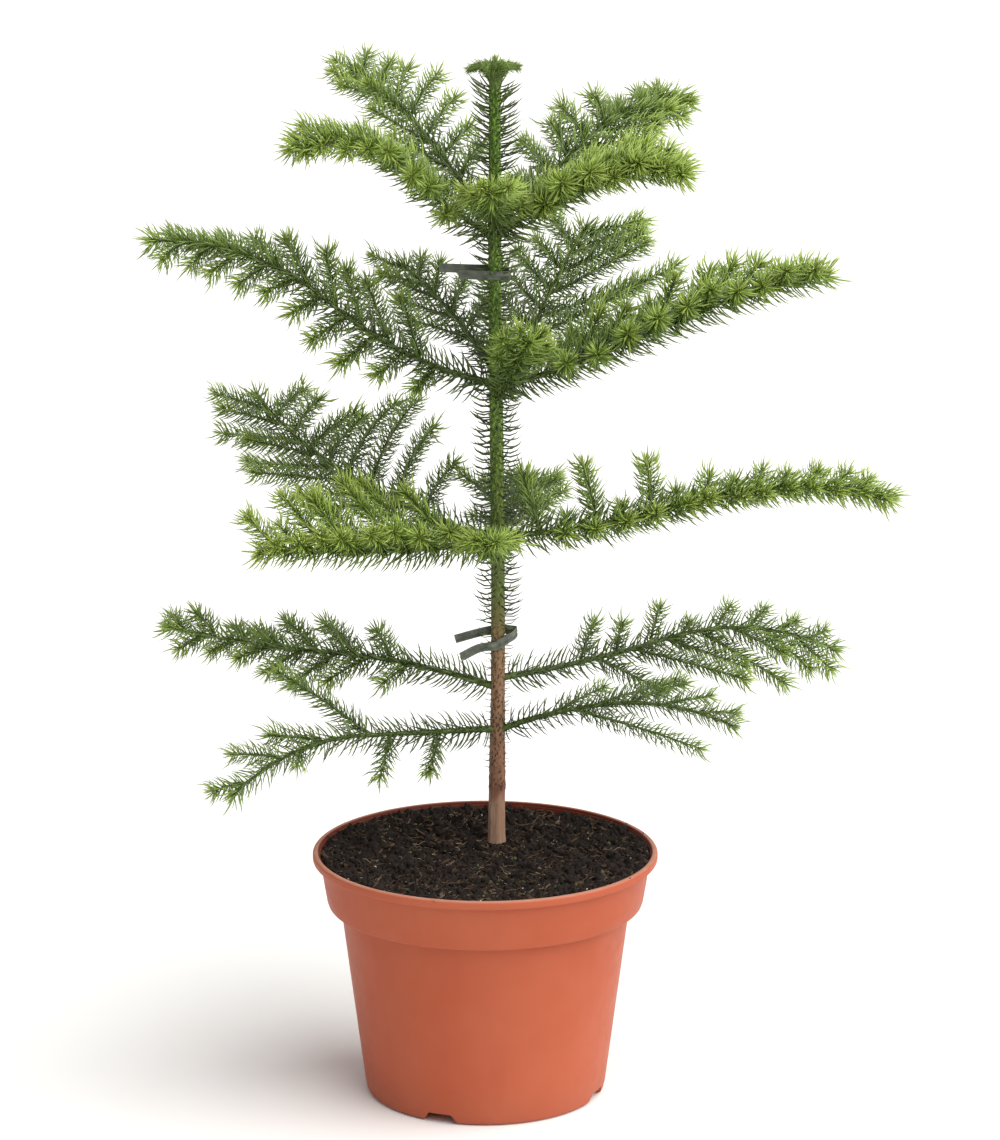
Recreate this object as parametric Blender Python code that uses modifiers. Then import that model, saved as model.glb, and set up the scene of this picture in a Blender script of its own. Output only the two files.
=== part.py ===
"""Potted Norfolk Island pine: a young plant with five whorls of fronds in a nursery pot."""

import math

import bmesh
import bpy
import numpy as np

# All sizes are in metres and all angles in degrees.
# A heading of 0 points along +X, and 90 along +Y, away from the viewer.
GAP = 0.0003

POT_SIDES = 36
POT_HEIGHT = 0.1227
LIP_RADIUS = 0.0852
LIP_DEPTH = 0.0043
COLLAR_TOP_RADIUS = 0.0815
COLLAR_FOOT_RADIUS = 0.0778
COLLAR_FOOT_HEIGHT = 0.0955
BODY_TOP_RADIUS = 0.0716
BODY_FOOT_RADIUS = 0.0594
POT_WALL = 0.0018
FLOOR_TOP = 0.0070
FOOT_ROUNDING = 0.0025
CHANNEL_HEADINGS = (248, 338, 68, 158)
CHANNEL_WIDTH = 0.0210
CHANNEL_HEIGHT = 0.0049
CHANNEL_INNER = 0.0260
DRAIN_RADIUS = 0.0035
DRAIN_DISTANCE = 0.0420

SOIL_SIDES = 28
SOIL_LEVEL = 0.1192
SOIL_EDGE_LEVEL = 0.1207
SOIL_RELIEF = 0.0011
SOIL_FLAT_RADIUS = 0.0070
HOLLOW_AT = (-0.022, 0.018)
HOLLOW_RADIUS = 0.020
HOLLOW_DEPTH = 0.0040
DIP_HEADING = 64
DIP_SPREAD = 34
DIP_DEPTH = 0.0018

TRUNK_X = 0.0055
TRUNK_Y = 0.0230
TRUNK_FOOT = SOIL_LEVEL + GAP
TRUNK_TIP = 0.4985
TRUNK_SIDES = 8
FLARE_RADIUS = 0.0047
TRUNK_RADII = ((0.118, 0.0043), (0.150, 0.0041), (0.200, 0.0034), (0.300, 0.0033), (0.430, 0.0030), (0.500, 0.0026))
TRUNK_SWAY = 0.0008
NEEDLE_ZONE = (0.236, 0.492)
TRUNK_RING_GAP = 0.0082

TIE_WIDTH = 0.0044
TIE_THICKNESS = 0.0010
TIE_CLEAR = 0.0007

# Height; reach to the left behind and in front; width of the loop at the right; then the rise in mm at the
# rear end, behind the trunk, at its right, in front of it and at the front end.
TIES = {
    "upper": (0.4045, 0.0268, 0.0175, 1.70, (4.5, 3.6, 1.4, 1.9, 2.1)),
    "lower": (0.2190, 0.0212, 0.0180, 2.00, (3.9, 8.8, 9.0, 2.4, -3.6)),
}

# Arms of the growing tip: heading, reach in mm, droop in mm.
TIP_ARMS = ((186, 13.2, 2.0), (8, 11.8, 1.0), (128, 11.5, 1.5), (68, 11.0, 1.5), (236, 9.5, 1.2), (306, 9.5, 1.0))
TIP_LIFT = 0.0088
TIP_BUD = 0.0142

BOUGH_SIDES = 6
BOUGH_RADIUS = 0.00140
BOUGH_TIP_RADIUS = 0.00035
BARE_END = 0.0030
STEM_SIDES = 3
STEM_STEP = 0.0150
STEM_RADIUS = 0.0016
STEM_TIP_RADIUS = 0.0008
TWIG_TIP_RADIUS = 0.00025
NECK = 0.0040
TWIG_STEP = 0.0138
NEEDLE_LENGTH = 0.0104
NEEDLE_LEAN = 52
TWIG_CLEAR = 0.0015
NEEDLE_CLEAR = 0.0010
NEIGHBOUR_CLEAR = 0.0008
SHORTEST_TWIG = 0.012


def bough(height, length, heading, climb, lift, fork, twig, gap, bare, sweep=(0.2, 0.2), sag=0.0, odd=None, close=0.25):
    """One frond's sizes, in mm and degrees. Pairs are (at the trunk, at the tip) or (left side, right side).

    Odd twigs are named by side and count, with their share of length and what is added to their lift.
    """
    return {
        "height": height / 1000,
        "length": length / 1000,
        "heading": heading,
        "climb": climb,
        "lift": lift,
        "fork": fork,
        "twig": (twig[0] / 1000, twig[1] / 1000),
        "gap": gap / 1000,
        "bare": bare,
        "sweep": sweep,
        "sag": sag,
        "odd": odd or {},
        "close": close,
    }


# Upper whorl a, steep and short, down to the lower pair e.
BOUGHS = {
    "a_left": bough(424, 126, (205, 212), (33, 42, -18), (-5, 24), (60, 56), (26, 26), 15, 0.20, sag=0.20),
    "a_rear_left": bough(434, 114, (132, 142), (30, 42, 22), (8, 8), (58, 58), (34, 37), 16, 0.20, (0.2, -0.3)),
    "a_rear_right": bough(433, 146, (52, 42), (18, 30, -4), (8, -16), (58, 56), (32, 36), 17, 0.22, (-0.3, 0.2)),
    "a_right": bough(423, 108, (332, 342), (42, 27, -9), (24, 5), (58, 58), (28, 28), 14, 0.20, sag=0.15),
    "a_front": bough(428, 60, (268, 268), (30, 27, 20), (10, 10), (50, 50), (22, 22), 13, 0.30),
    "b_left": bough(
        352, 187, (194, 186), (14, 42, -1), (-50, 45), (70, 62), (25, 32), 18, 0.17, (0.1, 0.1), 0.10,
        {
            (-1, 0): (1.3, 10), (-1, 1): (1.25, 5), (-1, 4): (1, -15), (-1, 5): (1, -30), (-1, 6): (1, -45),
            (-1, 7): (1, -45), (-1, 8): (1, -40), (-1, 9): (1, -30),
        },
    ),
    "b_right": bough(350, 175, (342, 350), (18, 27, 12), (38, 20), (66, 70), (27, 26), 16, 0.17, (0.1, 0.1), 0.10),
    "b_rear_right": bough(347, 146, (76, 62), (5, 34, 30), (10, -14), (62, 50), (44, 78), 18, 0.24, (0.1, 0.1)),
    "b_rear_left": bough(357, 88, (124, 132), (38, 30, 22), (8, 8), (58, 58), (34, 33), 16, 0.28, (0.1, 0.1)),
    "b_front": bough(344, 56, (290, 296), (38, 44, 40), (15, 15), (50, 50), (22, 22), 13, 0.36),
    "c_rear_left": bough(272, 172, (155, 125), (14, 16, 28), (-14, 20), (60, 66), (54, 57), 18, 0.20, (0.0, -0.45)),
    "c_left": bough(274, 130, (212, 205), (-2, 6, 4), (38, 60), (56, 66), (30, 43), 15, 0.16, odd={(-1, 6): (0.6, 0)}),
    "c_right": bough(
        276, 197, (346, 355), (6, 19, -13), (52, 4), (112, 62), (18, 21), 15, 0.11, (-0.1, 0.1), 0.05,
        {
            (1, 0): (2.4, 0), (1, 1): (0.5, 0), (1, 2): (1.9, 0), (1, 3): (0.5, 0), (1, 4): (1.6, 0),
            (1, 5): (0.5, 0), (1, 6): (0.95, -12), (1, 7): (0.5, 0), (1, 8): (0.9, -16), (1, 9): (0.6, 0),
        },
        0.60,
    ),
    "c_front": bough(270, 56, (266, 262), (17, 15, 12), (10, 10), (50, 50), (20, 20), 13, 0.32, sag=0.10),
    "c_rear_right": bough(270, 92, (84, 74), (14, 10, 6), (12, 12), (58, 58), (30, 30), 16, 0.28, (-0.2, 0.2)),
    "d_left": bough(199, 176, (165, 160), (15, 0, 8), (-8, 24), (72, 60), (28, 36), 21, 0.26, (0.1, 0.1), 0.30),
    "d_right": bough(
        204, 179, (18, 10), (4, 14, -28), (45, -40), (66, 46), (22, 46), 20, 0.24, (0.1, 0.1), 0.15,
        {(1, 0): (1.5, 0), (1, 3): (0.4, 0), (-1, 1): (1.3, 12), (-1, 3): (1.25, -22), (-1, 4): (0.8, 0)},
    ),
    "e_left": bough(
        178, 147, (205, 205), (4, 4, -40), (-40, 24), (66, 54), (28, 35), 27, 0.22, (0.1, 0.1), 0.15,
        {(1, 2): (0, 0), (1, 3): (0.5, 0), (1, 4): (0, 0), (-1, 0): (0, 0), (-1, 1): (1.7, 44)},
    ),
    "e_right": bough(
        177, 126, (338, 345), (26, 10, -22), (15, -30), (46, 34), (34, 42), 21, 0.26, (0.1, 0.1), 0.15,
        {(-1, 0): (2.2, -10), (-1, 1): (0, 0), (-1, 2): (0, 0), (-1, 3): (0, 0), (-1, 4): (0, 0), (1, 1): (1.3, 0)},
    ),
}


def unit(vector):
    return vector / np.linalg.norm(vector)


def direction(heading, climb):
    h = math.radians(heading)
    c = math.radians(climb)
    return np.array([math.cos(h) * math.cos(c), math.sin(h) * math.cos(c), math.sin(c)])


def trunk_centre(z):
    """The trunk stands nearly upright and sways less than a millimetre."""
    t = (z - TRUNK_FOOT) / (TRUNK_TIP - TRUNK_FOOT)
    return np.array([TRUNK_X + TRUNK_SWAY * math.sin(5.5 * t), TRUNK_Y + TRUNK_SWAY * math.sin(4.0 * t), z])


def trunk_radius(z):
    heights, radii = zip(*TRUNK_RADII)
    flare = (FLARE_RADIUS - radii[0]) * math.exp(-(z - TRUNK_FOOT) / 0.0035)
    return float(np.interp(z, heights, radii)) + flare


def midrib(name, steps=48):
    """A frond's midrib from the trunk's axis to its tip, turning and climbing by its sizes."""
    size = BOUGHS[name]
    point = trunk_centre(size["height"])
    points = [point]
    for step in range(steps):
        s = (step + 0.5) / steps
        heading = size["heading"][0] * (1 - s) + size["heading"][1] * s
        climb = float(np.interp(s, (0, 0.5, 1), size["climb"]))
        point = point + direction(heading, climb) * size["length"] / steps
        points.append(point)
    return np.array(points)


def along(path, s):
    """The point at fraction s of an evenly stepped path, and the way the path runs there."""
    f = s * (len(path) - 1)
    i = min(int(f), len(path) - 2)
    return path[i] + (path[i + 1] - path[i]) * (f - i), unit(path[i + 1] - path[i])


def fullness(s, bare):
    """Twigs are longest before the middle of a frond and shorter towards its tip."""
    rise = min(1.0, 0.8 + 0.2 * (s - bare) / 0.16)
    fall = 1.0 if s < 0.4 else 1.0 - 0.55 * ((s - 0.4) / 0.6) ** 1.2
    return rise * fall


def twig_paths(name, steps=8):
    """Where each twig leaves a frond and how it bends, in two ranks, left (+1) and right (-1)."""
    size = BOUGHS[name]
    rng = np.random.default_rng(sum(map(ord, name)))
    path = midrib(name)
    loose = 1.0 if size["odd"] else 2.0  # a frond with odd twigs keeps its places
    found = []
    for side in (1, -1):
        rank = 0 if side > 0 else 1
        s = size["bare"] + (0 if side > 0 else 0.45 * size["gap"] / size["length"])
        count = 0
        while s < 0.95:
            share, tilt = size["odd"].get((side, count), (1.0, 0))
            root, forward = along(path, s)
            flat = unit(np.array([-forward[1], forward[0], 0.0])) * side
            upward = unit(np.cross(forward, flat * side))
            lift = math.radians(size["lift"][rank] + tilt + rng.uniform(-8, 8) * loose)
            fork = math.radians(size["fork"][rank] * (1 - size["close"] * s) + rng.uniform(-5, 5))
            outward = math.cos(lift) * flat + math.sin(lift) * upward
            start = math.cos(fork) * forward + math.sin(fork) * outward
            length = size["twig"][rank] * fullness(s, size["bare"]) * rng.uniform(0.9, 1.1) ** loose * share
            point = root
            points = [root]
            for step in range(steps):
                u = (step + 0.5) / steps
                bent = start + size["sweep"][rank] * u * forward - size["sag"] * u * np.array([0, 0, 1.0])
                point = point + unit(bent) * length / steps
                points.append(point)
            if share:
                found.append((s, np.array(points)))
            count += 1
            s += size["gap"] / size["length"] * (1 - 0.25 * s) * rng.uniform(0.89, 1.11) ** (loose - 1)
    return found


def clear_scene():
    for item in list(bpy.data.objects):
        bpy.data.objects.remove(item, do_unlink=True)


def new_collection(name, hidden=False):
    group = bpy.data.collections.new(name)
    bpy.context.scene.collection.children.link(group)
    group.hide_render = hidden
    return group


def new_material(name, colour, roughness):
    made = bpy.data.materials.new(name)
    made.use_nodes = True
    shader = made.node_tree.nodes["Principled BSDF"]
    shader.inputs["Base Color"].default_value = (*colour, 1.0)
    shader.inputs["Roughness"].default_value = roughness
    shader.inputs["Metallic"].default_value = 0.0
    made.diffuse_color = (*colour, 1.0)
    return made


def face_outward(bm):
    bmesh.ops.recalc_face_normals(bm, faces=bm.faces)
    if bm.calc_volume(signed=True) < 0:
        bmesh.ops.reverse_faces(bm, faces=bm.faces)
    bm.normal_update()


def new_object(name, bm, group, look=None, smooth_angle=None):
    face_outward(bm)
    mesh = bpy.data.meshes.new(name)
    bm.to_mesh(mesh)
    bm.free()
    if look:
        mesh.materials.append(look)
    if smooth_angle:
        mesh.shade_smooth()
        mesh.set_sharp_from_angle(angle=math.radians(smooth_angle))
    made = bpy.data.objects.new(name, mesh)
    group.objects.link(made)
    return made


def circle(centre, radius, sides, turn=0.0):
    """A level ring of points."""
    angles = [2 * math.pi * (k + turn) / sides for k in range(sides)]
    return [np.array([centre[0] + radius * math.cos(a), centre[1] + radius * math.sin(a), centre[2]]) for a in angles]


def loft(bm, rings):
    """Extrudes a capped ring through all the others. Returns each step's direction and side faces."""
    sides = len(rings[0])
    made = bmesh.ops.create_circle(bm, cap_ends=True, segments=sides, radius=0.001)
    cap = made["verts"][0].link_faces[0]
    ordered = [loop.vert for loop in cap.loops]
    for vert, point in zip(ordered, rings[0]):
        vert.co = point
    walls = []
    for i, ring in enumerate(rings[1:]):
        below = ordered
        grown = bmesh.ops.extrude_face_region(bm, geom=[cap])
        if i > 0:
            bmesh.ops.delete(bm, geom=[cap], context="FACES_ONLY")
        cap = next(item for item in grown["geom"] if isinstance(item, bmesh.types.BMFace))
        new_verts = set(cap.verts)
        ordered = []
        for vert in below:
            above = next(e.other_vert(vert) for e in vert.link_edges if e.other_vert(vert) in new_verts)
            ordered.append(above)
        for vert, point in zip(ordered, ring):
            vert.co = point
        step = []
        for k in range(sides):
            corner = {below[k], below[(k + 1) % sides], ordered[k], ordered[(k + 1) % sides]}
            step.append(next(f for f in ordered[k].link_faces if set(f.verts) == corner))
        run = np.mean(ring, axis=0) - np.mean(rings[i], axis=0)
        walls.append((unit(run), step))
    return walls


def shoot_rings(points, radii, sides, upward):
    """Rings square to a path, the first corner of each on its upper side."""
    rings = []
    for i, point in enumerate(points):
        before = points[max(i - 1, 0)]
        after = points[min(i + 1, len(points) - 1)]
        forward = unit(after - before)
        right = unit(np.cross(forward, upward))
        top = np.cross(right, forward)
        ring = []
        for k in range(sides):
            a = 2 * math.pi * k / sides
            ring.append(point + radii[i] * (math.cos(a) * top + math.sin(a) * right))
        rings.append(ring)
    return rings


def resample(path, count, neck=0.0):
    """Even steps along a path, after a short bare neck where a twig leaves its stem."""
    length = np.linalg.norm(np.diff(path, axis=0), axis=1).sum()
    begin = neck / length
    points = [path[0]] if neck else []
    for k in range(count):
        points.append(along(path, begin + (1 - begin) * k / count)[0])
    return np.array(points + [path[-1]])


class Space:
    """The line segments already taken by limbs and needles, for keeping each mass in its own space."""

    def __init__(self):
        self.starts = np.zeros((0, 3))
        self.ends = np.zeros((0, 3))
        self.radii = np.zeros(0)

    def add(self, starts, ends, radius):
        self.starts = np.concatenate([self.starts, starts])
        self.ends = np.concatenate([self.ends, ends])
        self.radii = np.concatenate([self.radii, np.full(len(starts), radius)])

    def add_path(self, points, radius):
        self.add(np.array(points[:-1]), np.array(points[1:]), radius)

    def clearance(self, start, end):
        """The least distance from one segment to the surfaces of all that is taken."""
        if not len(self.starts):
            return 1.0
        own = end - start
        other = self.ends - self.starts
        between = start - self.starts
        a = float(own @ own)
        e = np.einsum("ij,ij->i", other, other) + 1e-18
        b = other @ own
        c = between @ own
        f = np.einsum("ij,ij->i", other, between)
        s = np.clip((b * f - c * e) / np.maximum(a * e - b * b, 1e-18), 0, 1)
        t = np.clip((b * s + f) / e, 0, 1)
        s = np.clip((b * t - c) / max(a, 1e-18), 0, 1)
        near = between + s[:, None] * own - t[:, None] * other
        return float((np.linalg.norm(near, axis=1) - self.radii).min())


def raise_needles(bm, walls, space, length, lean, fresh, beside=None):
    """Pulls the middle of each side face out and forward to a needle, where there is room for it."""
    forward_part = math.cos(math.radians(lean)) * length
    outward_part = math.sin(math.radians(lean)) * length
    for run, faces in walls:
        for face in faces:
            corners = sorted((np.array(vert.co) for vert in face.verts), key=run.dot)
            low = (corners[0] + corners[1]) / 2
            high = (corners[2] + corners[3]) / 2
            middle = (low + high) / 2
            outward = np.array(face.normal)
            tip = middle + outward * outward_part + run * forward_part
            edges = [(low, tip), (high, tip), (middle, tip)]
            if min(space.clearance(*edge) for edge in edges) < NEEDLE_CLEAR:
                continue
            outer = (middle + (tip - middle) * 0.35, tip)
            if beside and beside.clearance(*outer) < NEIGHBOUR_CLEAR:
                continue
            centre = bmesh.ops.poke(bm, faces=[face])["verts"][0]
            centre.co = tip
            fresh.extend(edges)


def largest_body(mesh):
    """Drops scraps and sealed hollows that joining leaves, keeping the one outer skin."""
    bm = bmesh.new()
    bm.from_mesh(mesh)
    left = set(bm.faces)
    bodies = []
    while left:
        seed = left.pop()
        body = [seed]
        stack = [seed]
        while stack:
            for edge in stack.pop().edges:
                for face in edge.link_faces:
                    if face in left:
                        left.remove(face)
                        body.append(face)
                        stack.append(face)
        bodies.append(body)
    bodies.sort(key=len)
    for body in bodies[:-1]:
        bmesh.ops.delete(bm, geom=body, context="FACES")
    bm.to_mesh(mesh)
    bm.free()


def join_shoots(stem, twigs_group, look):
    """One union of a stem with all the shoots in a collection, applied."""
    union = stem.modifiers.new("shoots", "BOOLEAN")
    union.operation = "UNION"
    union.operand_type = "COLLECTION"
    union.collection = twigs_group
    union.solver = "MANIFOLD"
    graph = bpy.context.evaluated_depsgraph_get()
    joined = bpy.data.meshes.new_from_object(stem.evaluated_get(graph))
    stem.modifiers.clear()
    stem.data = joined
    for item in list(twigs_group.objects):
        bpy.data.objects.remove(item, do_unlink=True)
    bpy.data.collections.remove(twigs_group)
    largest_body(joined)
    joined.materials.clear()
    joined.materials.append(look)


def turned(name, profile, sides, group, look):
    """A profile in the XZ plane turned round the Z axis."""
    bm = bmesh.new()
    verts = [bm.verts.new((x, 0.0, z)) for x, z in profile]
    for low, high in zip(verts[:-1], verts[1:]):
        bm.edges.new((low, high))
    mesh = bpy.data.meshes.new(name)
    bm.to_mesh(mesh)
    bm.free()
    mesh.materials.append(look)
    made = bpy.data.objects.new(name, mesh)
    group.objects.link(made)
    screw = made.modifiers.new("turn", "SCREW")
    screw.axis = "Z"
    screw.angle = math.radians(360)
    screw.steps = sides
    screw.render_steps = sides
    screw.use_merge_vertices = True
    screw.merge_threshold = 0.00005
    screw.use_smooth_shade = True
    return made


def inner_radius(z):
    """The pot's inner wall."""
    heights = (FLOOR_TOP, COLLAR_FOOT_HEIGHT - 0.0006, COLLAR_FOOT_HEIGHT + POT_WALL + 0.0010, POT_HEIGHT - LIP_DEPTH)
    radii = (
        BODY_FOOT_RADIUS - POT_WALL + 0.0006,
        BODY_TOP_RADIUS - POT_WALL,
        COLLAR_FOOT_RADIUS - POT_WALL - 0.0004,
        COLLAR_TOP_RADIUS - POT_WALL,
    )
    return float(np.interp(z, heights, radii))


def build_pot(group, cutters, look):
    lip_foot = POT_HEIGHT - LIP_DEPTH
    ledge = COLLAR_FOOT_HEIGHT
    inner_step = ledge + POT_WALL + 0.0010
    lip_inner = COLLAR_TOP_RADIUS - POT_WALL
    profile = [
        (0.0, FLOOR_TOP),
        (inner_radius(FLOOR_TOP), FLOOR_TOP),
        (inner_radius(ledge - 0.0006), ledge - 0.0006),
        (inner_radius(inner_step), inner_step),
        (lip_inner, lip_foot),
        (LIP_RADIUS - 0.0032, lip_foot + 0.0028),
        (LIP_RADIUS - 0.0030, POT_HEIGHT - 0.0008),
        (LIP_RADIUS - 0.0020, POT_HEIGHT),
        (LIP_RADIUS - 0.0006, POT_HEIGHT - 0.0003),
        (LIP_RADIUS, POT_HEIGHT - 0.0012),
        (LIP_RADIUS, lip_foot + 0.0006),
        (LIP_RADIUS - 0.0006, lip_foot),
        (COLLAR_TOP_RADIUS, lip_foot - 0.0001),
        (COLLAR_FOOT_RADIUS, ledge + 0.0020),
        (COLLAR_FOOT_RADIUS - 0.0007, ledge + 0.0005),
        (COLLAR_FOOT_RADIUS - 0.0020, ledge),
        (BODY_TOP_RADIUS + 0.0006, ledge),
        (BODY_TOP_RADIUS, ledge - 0.0007),
        (BODY_FOOT_RADIUS, FOOT_ROUNDING + 0.0005),
        (BODY_FOOT_RADIUS - 0.0008, 0.0008),
        (BODY_FOOT_RADIUS - FOOT_ROUNDING, 0.0),
        (0.0, 0.0),
    ]
    pot = turned("pot", profile, POT_SIDES, group, look)
    for k, heading in enumerate(CHANNEL_HEADINGS):
        reach = BODY_FOOT_RADIUS + 0.006
        middle = (CHANNEL_INNER + reach) / 2
        bm = bmesh.new()
        bmesh.ops.create_cube(bm, size=1.0)
        for vert in bm.verts:
            narrow = 0.62 if vert.co.z > 0 else 1.12
            vert.co.x = vert.co.x * (reach - CHANNEL_INNER)
            vert.co.y = vert.co.y * CHANNEL_WIDTH * narrow
            vert.co.z = CHANNEL_HEIGHT if vert.co.z > 0 else -0.001
        channel = new_object(f"channel_{k}", bm, cutters)
        bm = bmesh.new()
        bmesh.ops.create_cone(
            bm, cap_ends=True, segments=8, radius1=DRAIN_RADIUS, radius2=DRAIN_RADIUS, depth=FLOOR_TOP
        )
        drain = new_object(f"drain_{k}", bm, cutters)
        turn = math.radians(heading)
        channel.location = (middle * math.cos(turn), middle * math.sin(turn), 0.0)
        channel.rotation_euler.z = turn
        drain.location = (DRAIN_DISTANCE * math.cos(turn), DRAIN_DISTANCE * math.sin(turn), FLOOR_TOP)
        for cutter in (channel, drain):
            cutter.hide_render = True
            cutter.display_type = "WIRE"
            cut = pot.modifiers.new(cutter.name, "BOOLEAN")
            cut.operation = "DIFFERENCE"
            cut.object = cutter
    return pot


def soil_height(x, y):
    """Rough ground with a hollow beside the trunk, sunk a little at the rear edge, level where the trunk stands."""
    rough = math.sin(x * 310 + 1.3) * math.cos(y * 270 + 0.4) + 0.6 * math.sin(x * 520 - y * 430 + 2.1)
    hollow = math.exp(-((x - HOLLOW_AT[0]) ** 2 + (y - HOLLOW_AT[1]) ** 2) / HOLLOW_RADIUS**2)
    away = math.hypot(x - TRUNK_X, y - TRUNK_Y)
    ease = min(1.0, max(0.0, (away - SOIL_FLAT_RADIUS) / 0.012))
    edge = min(1.0, math.hypot(x, y) / COLLAR_TOP_RADIUS) ** 4
    off = (math.degrees(math.atan2(y, x)) - DIP_HEADING) / DIP_SPREAD
    sunk = DIP_DEPTH * math.exp(-off * off)
    level = SOIL_LEVEL + (SOIL_EDGE_LEVEL - sunk - SOIL_LEVEL) * edge
    return level + ease * ((1 - 0.75 * edge) * SOIL_RELIEF * rough - HOLLOW_DEPTH * hollow)


def build_soil(group, look):
    ledge = COLLAR_FOOT_HEIGHT
    bottom = FLOOR_TOP + GAP
    lip_foot = POT_HEIGHT - LIP_DEPTH
    levels = (bottom, ledge - 0.0006, ledge + POT_WALL + 0.0010 + GAP, lip_foot - 0.0012)
    rings = []
    for z in levels:
        snug = 1.2 * GAP / math.cos(math.pi / SOIL_SIDES)
        # The ring's corners stay inside the pot's flat facets.
        fit = math.cos(math.pi / POT_SIDES)
        rings.append(circle((0, 0, z), inner_radius(z) * fit - snug, SOIL_SIDES))
    rim = inner_radius(lip_foot) * math.cos(math.pi / POT_SIDES) - 0.0007
    for t in (1.0, 0.86, 0.70, 0.54, 0.38, 0.22, 0.10, 0.0):
        centre = (TRUNK_X * (1 - t), TRUNK_Y * (1 - t), 0.0)
        ring = circle(centre, SOIL_FLAT_RADIUS + (rim - SOIL_FLAT_RADIUS) * t, SOIL_SIDES)
        for point in ring:
            point[2] = soil_height(point[0], point[1]) if t else SOIL_LEVEL
        rings.append(ring)
    bm = bmesh.new()
    loft(bm, rings)
    return new_object("soil", bm, group, look)


def build_trunk(group, look, space):
    heights = [TRUNK_FOOT, TRUNK_FOOT + 0.003, TRUNK_FOOT + 0.009, 0.150, 0.178, 0.206]
    z = NEEDLE_ZONE[0]
    while z < NEEDLE_ZONE[1]:
        heights.append(z)
        z += TRUNK_RING_GAP
    heights.append(TRUNK_TIP)
    rings = [circle(trunk_centre(z), trunk_radius(z), TRUNK_SIDES) for z in heights]
    bm = bmesh.new()
    walls = loft(bm, rings)
    face_outward(bm)
    # Needles climb the green part in a spiral, two to a ring.
    chosen = []
    for i, (run, faces) in enumerate(walls):
        if heights[i] >= NEEDLE_ZONE[0]:
            turn = 3 * i
            chosen.append((run, [faces[turn % TRUNK_SIDES], faces[(turn + 4) % TRUNK_SIDES]]))
    fresh = []
    raise_needles(bm, chosen, space, NEEDLE_LENGTH * 1.1, 62, fresh)
    space.add(np.array([a for a, _ in fresh]), np.array([b for _, b in fresh]), 0.0004)
    return new_object("trunk", bm, group, look)


def tie_path(height, rear_reach, front_reach, loop, rises):
    """A band hooked round the trunk: in from the left behind it, round its right side and back in front."""
    x, y, _ = trunk_centre(height)
    grip = trunk_radius(height) + TIE_CLEAR + TIE_THICKNESS / 2
    rear_end, behind, right, before, front_end = [height + rise / 1000 for rise in rises]
    points = [np.array([x - rear_reach, y + grip * 0.75, rear_end])]
    points.append(np.array([x - rear_reach * 0.45, y + grip * 0.85, rear_end * 0.35 + behind * 0.65]))
    for k in range(9):
        turn = 100 - 25 * k
        a = math.radians(turn)
        wide = 1.0 + (loop - 1.0) * max(0.0, math.cos(a))
        level = float(np.interp(turn, (-100, 0, 100), (before, right, behind)))
        points.append(np.array([x + grip * wide * math.cos(a), y + grip * math.sin(a), level]))
    points.append(np.array([x - front_reach * 0.5, y - grip * 0.80, before * 0.8 + front_end * 0.2]))
    points.append(np.array([x - front_reach, y - grip * 0.55, front_end]))
    return points


def build_tie(name, group, look, sizes, space):
    points = tie_path(*sizes)
    rings = []
    up = np.array([0, 0, 1.0])
    for i, point in enumerate(points):
        forward = points[min(i + 1, len(points) - 1)] - points[max(i - 1, 0)]
        across = unit(np.cross(up, forward)) * TIE_THICKNESS / 2
        tall = up * TIE_WIDTH / 2
        rings.append([point + across + tall, point - across + tall, point - across - tall, point + across - tall])
    bm = bmesh.new()
    loft(bm, rings)
    space.add_path(points, TIE_WIDTH / 2)
    return new_object(name, bm, group, look)


def build_bough(name, group, look, space):
    """The bare inner part of a frond's midrib, from the trunk's skin to where the twigs begin."""
    size = BOUGHS[name]
    path = midrib(name)
    end = size["bare"] - BARE_END / size["length"]
    first, forward = along(path, 0.0)
    out = unit(np.array([forward[0], forward[1], 0.0]))
    skin = trunk_radius(size["height"]) + GAP
    begin = skin / (out @ forward) / size["length"]
    points = []
    radii = []
    for k in range(5):
        s = begin + (end - begin) * k / 4
        points.append(along(path, s)[0])
        radii.append(BOUGH_RADIUS + (BOUGH_TIP_RADIUS - BOUGH_RADIUS) * s * 0.8)
    rings = shoot_rings(points, radii, BOUGH_SIDES, np.array([0, 0, 1.0]))
    # The end by the trunk is cut upright, to lie along the bark.
    axis = trunk_centre(size["height"])
    rings[0] = [p + forward * (skin - (p - axis) @ out) / (forward @ out) for p in rings[0]]
    bm = bmesh.new()
    loft(bm, rings)
    space.add_path(points, BOUGH_RADIUS)
    return new_object("bough_" + name, bm, group, look, smooth_angle=50)


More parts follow.
